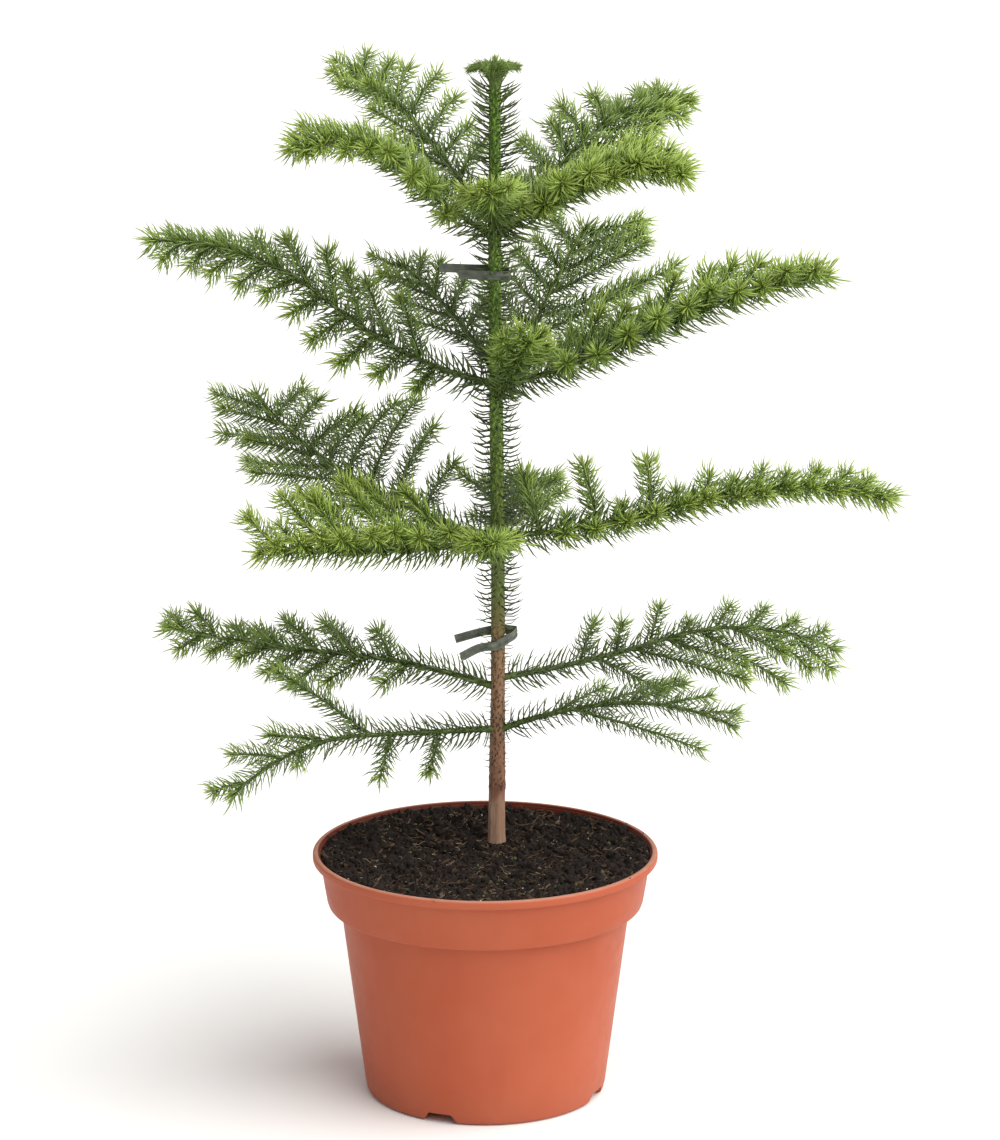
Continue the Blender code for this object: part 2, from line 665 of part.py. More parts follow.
def build_mass(name, group, look, space):
    """The outer midrib, its twigs and their needles, joined to one solid."""
    size = BOUGHS[name]
    path = midrib(name)
    start = size["bare"] - (BARE_END - GAP) / size["length"]
    stem_path = np.array([along(path, start + (1 - start) * k / 24)[0] for k in range(24)] + [path[-1]])
    upward = np.array([0, 0, 1.0])
    fresh = []
    bodies = []
    stem_length = size["length"] * (1 - start)
    paths = [(stem_path, max(3, round(stem_length / STEM_STEP)), STEM_RADIUS, STEM_TIP_RADIUS)]
    for s, twig in twig_paths(name):
        keep = len(twig)
        for i in range(len(twig) - 1):
            if space.clearance(twig[i], twig[i + 1]) < TWIG_CLEAR:
                keep = i
                break
        twig = twig[:keep]
        length = np.linalg.norm(np.diff(twig, axis=0), axis=1).sum() if keep > 1 else 0.0
        if length < SHORTEST_TWIG:
            continue
        stem_radius = STEM_RADIUS + (STEM_TIP_RADIUS - STEM_RADIUS) * (s - start) / (1 - start)
        paths.append((twig, max(1, round((length - NECK) / TWIG_STEP)), stem_radius * 0.52, TWIG_TIP_RADIUS))
    beside = Space()
    for points, count, root_radius, tip_radius in paths:
        neck = NECK if bodies else 0.0
        points = resample(points, count, neck)
        radii = [root_radius + (tip_radius - root_radius) * k / count for k in range(count + 1)]
        if neck:
            radii.insert(0, root_radius)
        bm = bmesh.new()
        walls = loft(bm, shoot_rings(points, radii, STEM_SIDES, upward))
        face_outward(bm)
        fade = min(1.0, 0.72 + root_radius * 300)
        own = []
        walls = walls[1:] if neck else walls
        raise_needles(bm, walls, space, NEEDLE_LENGTH * fade, NEEDLE_LEAN, own, beside)
        bodies.append((bm, points))
        fresh.extend(own)
        beside.add_path(points, root_radius)
        if own:
            beside.add(np.array([a for a, _ in own]), np.array([b for _, b in own]), 0.0)
    stem = new_object("mass_" + name, bodies[0][0], group)
    shoots = new_collection("shoots_" + name)
    for k, (bm, _) in enumerate(bodies[1:]):
        new_object(f"shoot_{name}_{k}", bm, shoots)
    join_shoots(stem, shoots, look)
    for _, points in bodies:
        space.add_path(points, 0.0008)
    space.add(np.array([a for a, _ in fresh]), np.array([b for _, b in fresh]), 0.0003)
    return stem


def build_leader_tuft(group, look, space):
    """The growing tip: a short stem under a crown of curled young shoots."""
    base = trunk_centre(TRUNK_TIP)
    base[2] += GAP
    stem_points = [base + np.array([0, 0, z]) for z in (0.0, 0.0045, 0.0095, TIP_BUD)]
    bm = bmesh.new()
    loft(bm, [circle(p, r, 5) for p, r in zip(stem_points, (0.0024, 0.0026, 0.0018, 0.0005))])
    tuft = new_object("mass_leader", bm, group)
    shoots = new_collection("shoots_leader")
    for k, (heading, reach, droop) in enumerate(TIP_ARMS):
        points = [stem_points[1]]
        for u in (0.34, 0.70, 1.0):
            rise = TIP_LIFT * math.sin(math.pi / 2 * min(1.0, u / 0.55)) - droop / 1000 * max(0.0, (u - 0.45) / 0.55) ** 1.6
            points.append(base + direction(heading, 0) * reach / 1000 * u + np.array([0, 0, rise]))
        bm = bmesh.new()
        walls = loft(bm, shoot_rings(points, (0.0014, 0.0019, 0.0018, 0.0007), STEM_SIDES, np.array([0, 0, 1.0])))
        face_outward(bm)
        raise_needles(bm, walls, space, 0.0045, 40, [])
        new_object(f"shoot_leader_{k}", bm, shoots)
    join_shoots(tuft, shoots, look)
    return tuft


def main():
    clear_scene()
    plant = new_collection("potted_pine")
    cutters = new_collection("cutters", hidden=True)
    terracotta = new_material("pot_plastic", (0.55, 0.13, 0.06), 0.42)
    peat = new_material("peat", (0.028, 0.018, 0.012), 0.95)
    bark = new_material("bark", (0.20, 0.16, 0.06), 0.75)
    green_wood = new_material("green_shoot", (0.10, 0.20, 0.035), 0.6)
    needles = new_material("needles", (0.095, 0.20, 0.035), 0.5)
    fresh_needles = new_material("fresh_needles", (0.22, 0.40, 0.06), 0.5)
    band = new_material("tie_band", (0.045, 0.058, 0.050), 0.6)

    space = Space()
    build_pot(plant, cutters, terracotta)
    build_soil(plant, peat)
    for name, sizes in TIES.items():
        build_tie("tie_" + name, plant, band, sizes, space)
    for name in BOUGHS:
        build_bough(name, plant, green_wood, space)
    build_trunk(plant, bark, space)
    heights = np.linspace(TRUNK_FOOT, TRUNK_TIP, 24)
    space.add_path([trunk_centre(z) for z in heights], 0.0034)
    build_leader_tuft(plant, fresh_needles, space)
    for name in BOUGHS:
        young = name in ("a_left", "a_right", "a_front", "b_front", "c_left", "c_front")
        build_mass(name, plant, fresh_needles if young else needles, space)


main()
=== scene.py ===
import math

import bmesh
import bpy
import numpy as np
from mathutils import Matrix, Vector, noise


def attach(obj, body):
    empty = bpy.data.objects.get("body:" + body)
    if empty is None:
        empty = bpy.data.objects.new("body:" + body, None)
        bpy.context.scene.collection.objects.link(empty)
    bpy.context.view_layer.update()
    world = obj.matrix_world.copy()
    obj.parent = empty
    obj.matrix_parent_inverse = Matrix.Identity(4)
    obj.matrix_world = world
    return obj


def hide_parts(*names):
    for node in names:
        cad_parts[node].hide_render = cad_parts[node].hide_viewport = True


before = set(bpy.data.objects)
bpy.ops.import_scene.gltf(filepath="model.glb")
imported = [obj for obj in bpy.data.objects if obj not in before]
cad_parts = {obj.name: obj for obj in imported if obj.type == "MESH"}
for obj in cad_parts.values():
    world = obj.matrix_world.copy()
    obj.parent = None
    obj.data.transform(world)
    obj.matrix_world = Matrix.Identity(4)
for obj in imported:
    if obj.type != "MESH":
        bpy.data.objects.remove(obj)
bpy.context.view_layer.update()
print("frame loaded")

# Lengths are in metres unless a name or note says mm.
# A heading of 0 points along +X, and 90 away from the viewer.

studio = {
    "cameraAt": (0.0073, -2.1, 0.775),
    "cameraTilt": 76.34,  # degrees from straight down
    "lens": 140.3,
    "frameHeight": 36.0,
    "farthest": 60,
    "floorSize": 16.0,
    "floorBack": 0.55,  # share of half its size
    "floorDrop": 0.0002,
    "skyStrength": 0.46,
    "keyStrength": 4.00,
    "keyHeading": -25,  # from the right and a little in front
    "keyClimb": 49,
    "keySpread": 80,
}

floorLook = {"colour": (0.95, 0.948, 0.94), "roughness": 0.8}


def setCamera():
    data = bpy.data.cameras.new("camera")
    data.sensor_fit = "VERTICAL"
    data.sensor_height = studio["frameHeight"]
    data.lens = studio["lens"]
    data.clip_end = studio["farthest"]
    camera = bpy.data.objects.new("camera", data)
    camera.location = studio["cameraAt"]
    camera.rotation_euler = (math.radians(studio["cameraTilt"]), 0, 0)
    bpy.context.scene.collection.objects.link(camera)
    bpy.context.scene.camera = camera


def setStudio():
    scene = bpy.context.scene
    scene.view_settings.view_transform = "Standard"
    world = bpy.data.worlds.new("softSky")
    world.use_nodes = True
    world.node_tree.nodes["Background"].inputs["Color"].default_value = (1.0, 0.998, 0.99, 1)
    world.node_tree.nodes["Background"].inputs["Strength"].default_value = studio["skyStrength"]
    scene.world = world
    data = bpy.data.lights.new("wideKey", "SUN")
    data.energy = studio["keyStrength"]
    data.angle = math.radians(studio["keySpread"])
    data.color = (1.0, 0.985, 0.96)
    key = bpy.data.objects.new("wideKey", data)
    towards = Vector(direction(studio["keyHeading"], studio["keyClimb"]))
    key.rotation_euler = (-towards).to_track_quat("-Z", "Y").to_euler()
    scene.collection.objects.link(key)
    half = studio["floorSize"] / 2
    bm = bmesh.new()
    bmesh.ops.create_grid(bm, x_segments=8, y_segments=8, size=half)
    mesh = bpy.data.meshes.new("floor")
    bm.to_mesh(mesh)
    bm.free()
    look = newLook("paleFloor", floorLook["colour"], floorLook["roughness"])[0]
    floor = linkMesh("floor", mesh, look)
    floor.location = (0, half * studio["floorBack"], -studio["floorDrop"])


# Materials

def newLook(name, colour, roughness, specular=0.5):
    look = bpy.data.materials.new(name)
    look.use_nodes = True
    nodes = look.node_tree.nodes
    shader = nodes["Principled BSDF"]
    shader.inputs["Base Color"].default_value = (*colour, 1)
    shader.inputs["Roughness"].default_value = roughness
    shader.inputs["Specular IOR Level"].default_value = specular
    return look, shader, nodes, look.node_tree.links


def plainLook(name, colour, roughness, specular=0.4):
    return newLook(name, colour, roughness, specular)[0]


def noiseOn(nodes, links, coords, scale, detail=4, roughness=0.55, stretch=None):
    source = coords
    if stretch:
        mapping = nodes.new("ShaderNodeMapping")
        mapping.inputs["Scale"].default_value = stretch
        links.new(coords, mapping.inputs["Vector"])
        source = mapping.outputs["Vector"]
    texture = nodes.new("ShaderNodeTexNoise")
    texture.inputs["Scale"].default_value = scale
    texture.inputs["Detail"].default_value = detail
    texture.inputs["Roughness"].default_value = roughness
    links.new(source, texture.inputs["Vector"])
    return texture.outputs["Fac"]


def rampOf(nodes, links, value, stops):
    ramp = nodes.new("ShaderNodeValToRGB")
    elements = ramp.color_ramp.elements
    while len(elements) < len(stops):
        elements.new(0.5)
    for element, (place, colour) in zip(elements, stops):
        element.position = place
        element.color = (*colour, 1)
    links.new(value, ramp.inputs["Fac"])
    return ramp.outputs["Color"]


def mixOf(nodes, links, factor, a, b, blend="MIX"):
    mix = nodes.new("ShaderNodeMix")
    mix.data_type = "RGBA"
    mix.blend_type = blend
    for socket, value in ((mix.inputs["Factor"], factor), (mix.inputs[6], a), (mix.inputs[7], b)):
        if isinstance(value, bpy.types.NodeSocket):
            links.new(value, socket)
        elif isinstance(value, tuple):
            socket.default_value = (*value, 1)
        else:
            socket.default_value = value
    return mix.outputs[2]


def rangeOf(nodes, links, value, low, high, toLow, toHigh):
    ranged = nodes.new("ShaderNodeMapRange")
    for name, number in (("From Min", low), ("From Max", high), ("To Min", toLow), ("To Max", toHigh)):
        ranged.inputs[name].default_value = number
    links.new(value, ranged.inputs["Value"])
    return ranged.outputs["Result"]


def tintOf(nodes, links, body, colour, value, span):
    # Span: the value's low and high, and how much of the colour shows at each.
    return mixOf(nodes, links, rangeOf(nodes, links, value, *span), body, colour)


def productOf(nodes, links, a, b):
    product = nodes.new("ShaderNodeMath")
    product.operation = "MULTIPLY"
    links.new(a, product.inputs[0])
    links.new(b, product.inputs[1])
    return product.outputs["Value"]


def partsOf(nodes, links, vector):
    parts = nodes.new("ShaderNodeSeparateXYZ")
    links.new(vector, parts.inputs["Vector"])
    return parts.outputs


def bumpOn(nodes, links, shader, heights):
    previous = None
    for height, distance, strength in heights:
        bump = nodes.new("ShaderNodeBump")
        bump.inputs["Distance"].default_value = distance
        bump.inputs["Strength"].default_value = strength
        links.new(height, bump.inputs["Height"])
        if previous:
            links.new(previous, bump.inputs["Normal"])
        previous = bump.outputs["Normal"]
    links.new(previous, shader.inputs["Normal"])


def objectCoords(nodes):
    return nodes.new("ShaderNodeTexCoord").outputs["Object"]


# Objects and meshes

def linkMesh(name, mesh, look=None):
    made = bpy.data.objects.new(name, mesh)
    bpy.context.scene.collection.objects.link(made)
    if look:
        mesh.materials.clear()
        mesh.materials.append(look)
    return made


def meshFrom(name, bm, look=None, smoothAngle=40):
    bmesh.ops.remove_doubles(bm, verts=bm.verts, dist=0.000002)
    bmesh.ops.recalc_face_normals(bm, faces=bm.faces)
    mesh = bpy.data.meshes.new(name)
    bm.to_mesh(mesh)
    bm.free()
    mesh.shade_smooth()
    mesh.set_sharp_from_angle(angle=math.radians(smoothAngle))
    return linkMesh(name, mesh, look)


def bake(piece):
    graph = bpy.context.evaluated_depsgraph_get()
    plain = bpy.data.meshes.new_from_object(piece.evaluated_get(graph))
    piece.modifiers.clear()
    old = piece.data
    piece.data = plain
    bpy.data.meshes.remove(old)
    return piece


def finish(piece, slotName, *nodeNames):
    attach(piece, "root")
    if nodeNames:
        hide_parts(*nodeNames)


def growTree(name, sockets):
    tree = bpy.data.node_groups.new(name, "GeometryNodeTree")
    tree.interface.new_socket("Geometry", in_out="INPUT", socket_type="NodeSocketGeometry")
    for label, kind, value in sockets:
        socket = tree.interface.new_socket(label, in_out="INPUT", socket_type="NodeSocket" + kind)
        if value is not None:
            socket.default_value = value
    tree.interface.new_socket("Geometry", in_out="OUTPUT", socket_type="NodeSocketGeometry")
    start = tree.nodes.new("NodeGroupInput")
    end = tree.nodes.new("NodeGroupOutput")
    return tree, start.outputs, end.inputs


def addNode(tree, kind, inputs=None, **settings):
    node = tree.nodes.new(kind)
    for key, value in settings.items():
        setattr(node, key, value)
    for key, value in (inputs or {}).items():
        socket = node.inputs[key]
        if isinstance(value, bpy.types.NodeSocket):
            tree.links.new(value, socket)
        else:
            socket.default_value = value
    return node


def useTree(piece, tree, values):
    modifier = piece.modifiers.new(tree.name, "NODES")
    modifier.node_group = tree
    for item in tree.interface.items_tree:
        if item.item_type == "SOCKET" and item.in_out == "INPUT" and item.name in values:
            modifier[item.identifier] = values[item.name]
    return bake(piece)


def endTree(tree, out, geometry, look):
    real = addNode(tree, "GeometryNodeRealizeInstances", {"Geometry": geometry})
    painted = addNode(tree, "GeometryNodeSetMaterial", {
        "Geometry": real.outputs["Geometry"], "Material": look,
    })
    tree.links.new(painted.outputs["Geometry"], out["Geometry"])
    return tree


def bridge(bm, rings):
    # Faces between each ring of corners and the next.
    for low, high in zip(rings[:-1], rings[1:]):
        for k in range(len(low)):
            m = (k + 1) % len(low)
            bm.faces.new((low[k], low[m], high[m], high[k]))


def roundAngles(sides):
    return [math.tau * k / sides for k in range(sides)]


def unit(vector):
    return vector / np.linalg.norm(vector)


def direction(heading, climb):
    h = math.radians(heading)
    c = math.radians(climb)
    return np.array([math.cos(h) * math.cos(c), math.sin(h) * math.cos(c), math.sin(c)])


def along(path, s):
    f = s * (len(path) - 1)
    i = min(int(f), len(path) - 2)
    return path[i] + (path[i + 1] - path[i]) * (f - i), unit(path[i + 1] - path[i])


# The pot

pot = {
    "sides": 160,
    "height": 0.1227,
    "lipRadius": 0.0852,
    "lipDepth": 0.0043,
    "collarTopRadius": 0.0815,
    "collarFootRadius": 0.0778,
    "collarFootHeight": 0.0955,
    "bodyTopRadius": 0.0716,
    "bodyFootRadius": 0.0594,
    "wall": 0.0018,
    "floorTop": 0.0070,
    "footRounding": 0.0025,
    "lipRounding": 0.0014,
    "lipUnderRounding": 0.0012,
    "ledgeRounding": 0.0020,
    "cornerFillet": 0.0008,
    "floorFillet": 0.002,
    "innerStep": 0.0010,  # how far the inner ledge stands above the wall's thickness
    "channelHeadings": (248, 338, 68, 158),
    "channelWidth": 0.0210,
    "channelHeight": 0.0049,
    "channelInner": 0.0260,
    "channelPast": 0.006,  # how far the cutter reaches outside the foot
    "channelFootWide": 1.12,  # shares of its width
    "channelTopWide": 0.62,
    "channelRounding": 0.0014,
    "drainRadius": 0.0035,
    "drainDistance": 0.0420,
    "colour": (0.405, 0.086, 0.038),
    "paleColour": (0.455, 0.122, 0.064),
    # Painted shade: the darker red of the pot's inner wall.
    "innerShadowColour": (0.125, 0.021, 0.011),
    "dustColour": (0.490, 0.285, 0.205),
    "streakColour": (0.30, 0.058, 0.026),
    "footColour": (0.24, 0.11, 0.065),
    "roughness": 0.44,
}


def potInnerRadius(z):
    ledge = pot["collarFootHeight"]
    lipFoot = pot["height"] - pot["lipDepth"]
    innerStep = ledge + pot["wall"] + pot["innerStep"]
    heights = (pot["floorTop"], ledge - 0.0006, innerStep, lipFoot, lipFoot + 0.0028)
    radii = (
        pot["bodyFootRadius"] - pot["wall"] + 0.0006,
        pot["bodyTopRadius"] - pot["wall"],
        pot["collarFootRadius"] - pot["wall"] - 0.0004,
        pot["collarTopRadius"] - pot["wall"],
        pot["lipRadius"] - 0.0034,
    )
    return float(np.interp(z, heights, radii))


def arc(centre, radius, start, end, steps):
    angles = [math.radians(start + (end - start) * k / steps) for k in range(steps + 1)]
    return [(centre[0] + radius * math.cos(a), centre[1] + radius * math.sin(a)) for a in angles]


def potProfile():
    top = pot["height"]
    ledge = pot["collarFootHeight"]
    lipFoot = top - pot["lipDepth"]
    lip = pot["lipRadius"]
    innerStep = ledge + pot["wall"] + pot["innerStep"]
    points = [(0.0, pot["floorTop"])]
    soft = pot["floorFillet"]
    points += arc((potInnerRadius(pot["floorTop"]) - soft, pot["floorTop"] + soft), soft, -90, -4, 5)
    points += [(potInnerRadius(z), z) for z in np.linspace(0.014, ledge - 0.0012, 7)]
    points.append((potInnerRadius(ledge) + 0.0012, ledge + 0.0008))
    points.append((potInnerRadius(innerStep) - 0.0014, innerStep - 0.0006))
    points += [(potInnerRadius(z), z) for z in np.linspace(innerStep + 0.0004, lipFoot - 0.001, 4)]
    points += [(lip - 0.0042, lipFoot + 0.0014), (lip - 0.0036, lipFoot + 0.0028)]
    soft = pot["lipRounding"]
    points += arc((lip - 0.0020, top - soft), soft, 180, 90, 5)
    points += arc((lip - soft, top - soft), soft, 90, 0, 6)
    soft = pot["lipUnderRounding"]
    points += arc((lip - soft, lipFoot + soft), soft, 0, -90, 6)
    fillet = pot["cornerFillet"]
    points += arc((pot["collarTopRadius"] + fillet, lipFoot - fillet), fillet, 90, 180, 4)
    collar = np.linspace(lipFoot - 0.003, ledge + 0.003, 5)
    collarRadii = np.interp(collar, (ledge, lipFoot), (pot["collarFootRadius"], pot["collarTopRadius"]))
    points += [(float(r), float(z)) for r, z in zip(collarRadii, collar)]
    soft = pot["ledgeRounding"]
    points += arc((pot["collarFootRadius"] - soft, ledge + soft), soft, 0, -90, 6)
    points += arc((pot["bodyTopRadius"] + fillet, ledge - fillet), fillet, 90, 180, 4)
    body = np.linspace(ledge - 0.004, pot["footRounding"] + 0.002, 9)
    bodyRadii = np.interp(body, (0, ledge), (pot["bodyFootRadius"] - 0.0001, pot["bodyTopRadius"]))
    points += [(float(r), float(z)) for r, z in zip(bodyRadii, body)]
    soft = pot["footRounding"]
    points += arc((pot["bodyFootRadius"] - soft, soft), soft, -2, -90, 6)
    points += [(0.045, 0.0), (0.022, 0.0), (0.0, 0.0)]
    return points


def channelCutter(heading, k):
    reach = pot["bodyFootRadius"] + pot["channelPast"]
    length = reach - pot["channelInner"]
    bm = bmesh.new()
    bmesh.ops.create_cube(bm, size=1.0)
    for vert in bm.verts:
        wide = pot["channelTopWide"] if vert.co.z > 0 else pot["channelFootWide"]
        vert.co.x *= length
        vert.co.y *= pot["channelWidth"] * wide
        vert.co.z = pot["channelHeight"] if vert.co.z > 0 else -0.004
    upper = [e for e in bm.edges if all(v.co.z > 0 for v in e.verts)]
    bmesh.ops.bevel(bm, geom=upper, offset=pot["channelRounding"], segments=3, affect="EDGES", profile=0.5)
    turn = math.radians(heading)
    bmesh.ops.translate(bm, verts=bm.verts, vec=((pot["channelInner"] + reach) / 2, 0, 0))
    hole = pot["drainRadius"]
    bmesh.ops.create_cone(bm, cap_ends=True, segments=28, radius1=hole, radius2=hole, depth=pot["floorTop"])
    drain = [v for v in bm.verts if abs(v.co.x) < 0.006]
    bmesh.ops.translate(bm, verts=drain, vec=(pot["drainDistance"], 0, pot["floorTop"]))
    for vert in bm.verts:
        x, y = vert.co.x, vert.co.y
        vert.co.x = x * math.cos(turn) - y * math.sin(turn)
        vert.co.y = x * math.sin(turn) + y * math.cos(turn)
    return meshFrom(f"channelCutter{k}", bm)


def potLook():
    look, shader, nodes, links = newLook("terracottaPlastic", pot["colour"], pot["roughness"], 0.16)
    coords = objectCoords(nodes)
    height = partsOf(nodes, links, coords)["Z"]
    cloudy = noiseOn(nodes, links, coords, 16, 3)
    streaks = noiseOn(nodes, links, coords, 60, 4, stretch=(1, 1, 0.12))
    body = tintOf(nodes, links, pot["colour"], pot["paleColour"], cloudy, (0.35, 0.7, 0.0, 0.60))
    body = tintOf(nodes, links, body, pot["streakColour"], streaks, (0.55, 0.75, 0.0, 0.12))
    dust = noiseOn(nodes, links, coords, 140, 6, 0.7)
    nearFloor = productOf(nodes, links, rangeOf(nodes, links, height, 0.0, 0.022, 0.34, 0.0), dust)
    body = mixOf(nodes, links, nearFloor, body, pot["footColour"])
    # Dust lies on what faces up at the lip, and the inner wall gets a darker red: painted shade for the
    # shadow inside the pot.
    normal = nodes.new("ShaderNodeNewGeometry").outputs["Normal"]
    facesUp = rangeOf(nodes, links, partsOf(nodes, links, normal)["Z"], 0.45, 0.95, 0.0, 1.15)
    onLip = rangeOf(nodes, links, height, 0.1200, 0.1217, 0.0, 1.0)
    lipDust = productOf(nodes, links, productOf(nodes, links, facesUp, onLip), dust)
    body = mixOf(nodes, links, lipDust, body, pot["dustColour"])
    flat = nodes.new("ShaderNodeMapping")
    flat.inputs["Scale"].default_value = (1, 1, 0)
    links.new(coords, flat.inputs["Vector"])
    outwards = nodes.new("ShaderNodeVectorMath")
    outwards.operation = "DOT_PRODUCT"
    links.new(normal, outwards.inputs[0])
    links.new(flat.outputs["Vector"], outwards.inputs[1])
    # Painted shade: faces that look inwards get the dark inner red.
    paintedInnerShade = rangeOf(nodes, links, outwards.outputs["Value"], -0.045, -0.015, 1.0, 0.0)
    body = mixOf(nodes, links, paintedInnerShade, body, pot["innerShadowColour"])
    links.new(body, shader.inputs["Base Color"])
    fine = noiseOn(nodes, links, coords, 900, 3)
    scuffs = noiseOn(nodes, links, coords, 110, 5, 0.7)
    links.new(rangeOf(nodes, links, scuffs, 0.35, 0.7, 0.42, 0.56), shader.inputs["Roughness"])
    bumpOn(nodes, links, shader, ((fine, 0.00006, 0.5), (cloudy, 0.0006, 0.35)))
    shader.inputs["Subsurface Weight"].default_value = 0.05
    shader.inputs["Subsurface Radius"].default_value = (0.004, 0.0015, 0.001)
    return look


def makePot():
    bm = bmesh.new()
    verts = [bm.verts.new((r, 0, z)) for r, z in potProfile()]
    edges = [bm.edges.new(pair) for pair in zip(verts[:-1], verts[1:])]
    bmesh.ops.spin(
        bm, geom=verts + edges, axis=(0, 0, 1), cent=(0, 0, 0),
        angle=math.tau, steps=pot["sides"], use_merge=True,
    )
    bmesh.ops.dissolve_degenerate(bm, dist=0.000001, edges=bm.edges)
    made = meshFrom("potShell", bm, smoothAngle=35)
    cutters = [channelCutter(heading, k) for k, heading in enumerate(pot["channelHeadings"])]
    for cutter in cutters:
        cut = made.modifiers.new(cutter.name, "BOOLEAN")
        cut.operation = "DIFFERENCE"
        cut.solver = "EXACT"
        cut.use_self = True
        cut.object = cutter
    bake(made)
    for cutter in cutters:
        bpy.data.objects.remove(cutter, do_unlink=True)
    made.data.materials.clear()
    made.data.materials.append(potLook())
    made.data.shade_smooth()
    made.data.set_sharp_from_angle(angle=math.radians(35))
    finish(made, "pot_plastic", "pot")
    print("pot done")


# The soil

soil = {
    "level": 0.1192,
    "edgeLevel": 0.1213,
    "relief": 0.0014,
    "crumbDepth": 0.0017,
    "lumpDepth": 0.0028,
    "flatRadius": 0.0070,
    "hollowAt": (-0.022, 0.018),
    "hollowRadius": 0.020,
    "hollowDepth": 0.0040,
    "dipHeading": 64,     # where the soil has sunk at the edge
    "dipSpread": 34,
    "dipDepth": 0.0018,
    "sides": 220,
    "rings": 80,
    "pieceCount": 6200,
    "rimHeight": 0.1206,
    "sideHeights": (0.1172, 0.110, 0.100, 0.094, 0.050, 0.0075),
    "wallGap": 0.0006,
    "looseFrom": 0.1145,  # loose pieces lie above this
    "looseSlope": 0.2,
    "rimClear": 0.0010,
    "trunkClear": 0.0052,
    "colour": (0.0094, 0.0056, 0.0038),
    "paleColour": (0.040, 0.026, 0.017),
}


def soilHeight(x, y):
    rough = math.sin(x * 310 + 1.3) * math.cos(y * 270 + 0.4) + 0.6 * math.sin(x * 520 - y * 430 + 2.1)
    hollowX, hollowY = soil["hollowAt"]
    hollow = math.exp(-((x - hollowX) ** 2 + (y - hollowY) ** 2) / soil["hollowRadius"] ** 2)
    away = math.hypot(x - trunk["x"], y - trunk["y"])
    ease = min(1.0, max(0.0, (away - soil["flatRadius"]) / 0.012))
    edge = min(1.0, math.hypot(x, y) / pot["collarTopRadius"]) ** 4
    off = (math.degrees(math.atan2(y, x)) - soil["dipHeading"]) / soil["dipSpread"]
    sunk = soil["dipDepth"] * math.exp(-off * off)
    level = soil["level"] + (soil["edgeLevel"] - sunk - soil["level"]) * edge
    crumbs = noise.fractal(Vector((x, y, 0)) * 210, 0.8, 2.1, 4) * soil["crumbDepth"]
    lumps = noise.noise(Vector((x + 3, y, 0.5)) * 95) * soil["lumpDepth"]
    calm = 1 - 0.75 * edge
    relief = calm * (soil["relief"] * rough + lumps) - soil["hollowDepth"] * hollow
    return level + ease * relief + crumbs * (0.4 + 0.6 * calm) - 0.0004


def shaded(colour, share):
    return tuple(c * share for c in colour)


def soilLook(name, dark, pale, roughness):
    look, shader, nodes, links = newLook(name, dark, roughness, 0.25)
    coords = objectCoords(nodes)
    patches = noiseOn(nodes, links, coords, 150, 8, 0.7)
    specks = noiseOn(nodes, links, coords, 1500, 4, 0.7)
    body = rampOf(nodes, links, patches, ((0.36, dark), (0.60, shaded(dark, 2.1)), (0.78, pale)))
    body = tintOf(nodes, links, body, pale, specks, (0.60, 0.74, 0.0, 0.5))
    links.new(body, shader.inputs["Base Color"])
    bumpOn(nodes, links, shader, ((patches, 0.0009, 0.8), (specks, 0.0003, 0.7)))
    return look


def scatterTree():
    tree, given, out = growTree("scatterOnSoil", (
        ("Piece", "Object", None), ("Density", "Float", 1000.0),
        ("Smallest", "Float", 0.5), ("Largest", "Float", 1.5),
        ("Tilt", "Float", 3.14), ("Seed", "Int", 1), ("Material", "Material", None),
    ))
    spread = addNode(tree, "GeometryNodeDistributePointsOnFaces", {
        "Mesh": given["Geometry"], "Density": given["Density"], "Seed": given["Seed"],
    })
    info = addNode(tree, "GeometryNodeObjectInfo", {"Object": given["Piece"]})
    swing = addNode(tree, "ShaderNodeCombineXYZ", {"X": given["Tilt"], "Y": given["Tilt"], "Z": 6.283})
    turn = addNode(tree, "FunctionNodeRandomValue", {"Seed": given["Seed"]}, data_type="FLOAT_VECTOR")
    tree.links.new(swing.outputs["Vector"], turn.inputs[1])
    size = addNode(tree, "FunctionNodeRandomValue", data_type="FLOAT")
    tree.links.new(given["Smallest"], size.inputs[2])
    tree.links.new(given["Largest"], size.inputs[3])
    tree.links.new(given["Seed"], size.inputs["Seed"])
    placed = addNode(tree, "GeometryNodeInstanceOnPoints", {
        "Points": spread.outputs["Points"], "Instance": info.outputs["Geometry"],
        "Rotation": turn.outputs[0], "Scale": size.outputs[1],
    })
    return endTree(tree, out, placed.outputs["Instances"], given["Material"])


def crumbMesh(name, size, seed, squash=(1, 1, 1), subdivisions=1):
    bm = bmesh.new()
    bmesh.ops.create_icosphere(bm, subdivisions=subdivisions, radius=size)
    for vert in bm.verts:
        push = 1 + 0.55 * noise.noise(vert.co * (1.1 / size) + Vector((seed, 0, 0)))
        vert.co = Vector([c * s * push for c, s in zip(vert.co, squash)])
    return meshFrom(name, bm, smoothAngle=60)


def fibreMesh(name, length, radius, curl, seed):
    rng = np.random.default_rng(seed)
    points = []
    at = np.array([-length / 2, 0.0, 0.0])
    heading = 0.0
    steps = 7
    for step in range(steps + 1):
        points.append(at.copy())
        heading += rng.normal(0, curl) + curl * 0.6
        at = at + np.array([math.cos(heading), math.sin(heading), rng.normal(0, 0.22)]) * length / steps
    bm = bmesh.new()
    sides = 3
    rings = []
    for i, p in enumerate(points):
        forward = unit(points[min(i + 1, steps)] - points[max(i - 1, 0)])
        right = unit(np.cross(forward, (0, 0, 1.0)))
        up = np.cross(right, forward)
        r = radius * (0.35 + 0.65 * math.sin(math.pi * (i + 0.6) / (steps + 1.2)))
        spokes = [math.cos(a) * right + math.sin(a) * up for a in roundAngles(sides)]
        rings.append([bm.verts.new(p + r * spoke) for spoke in spokes])
    bridge(bm, rings)
    bm.faces.new(rings[0][::-1])
    bm.faces.new(rings[-1])
    return meshFrom(name, bm, smoothAngle=80)


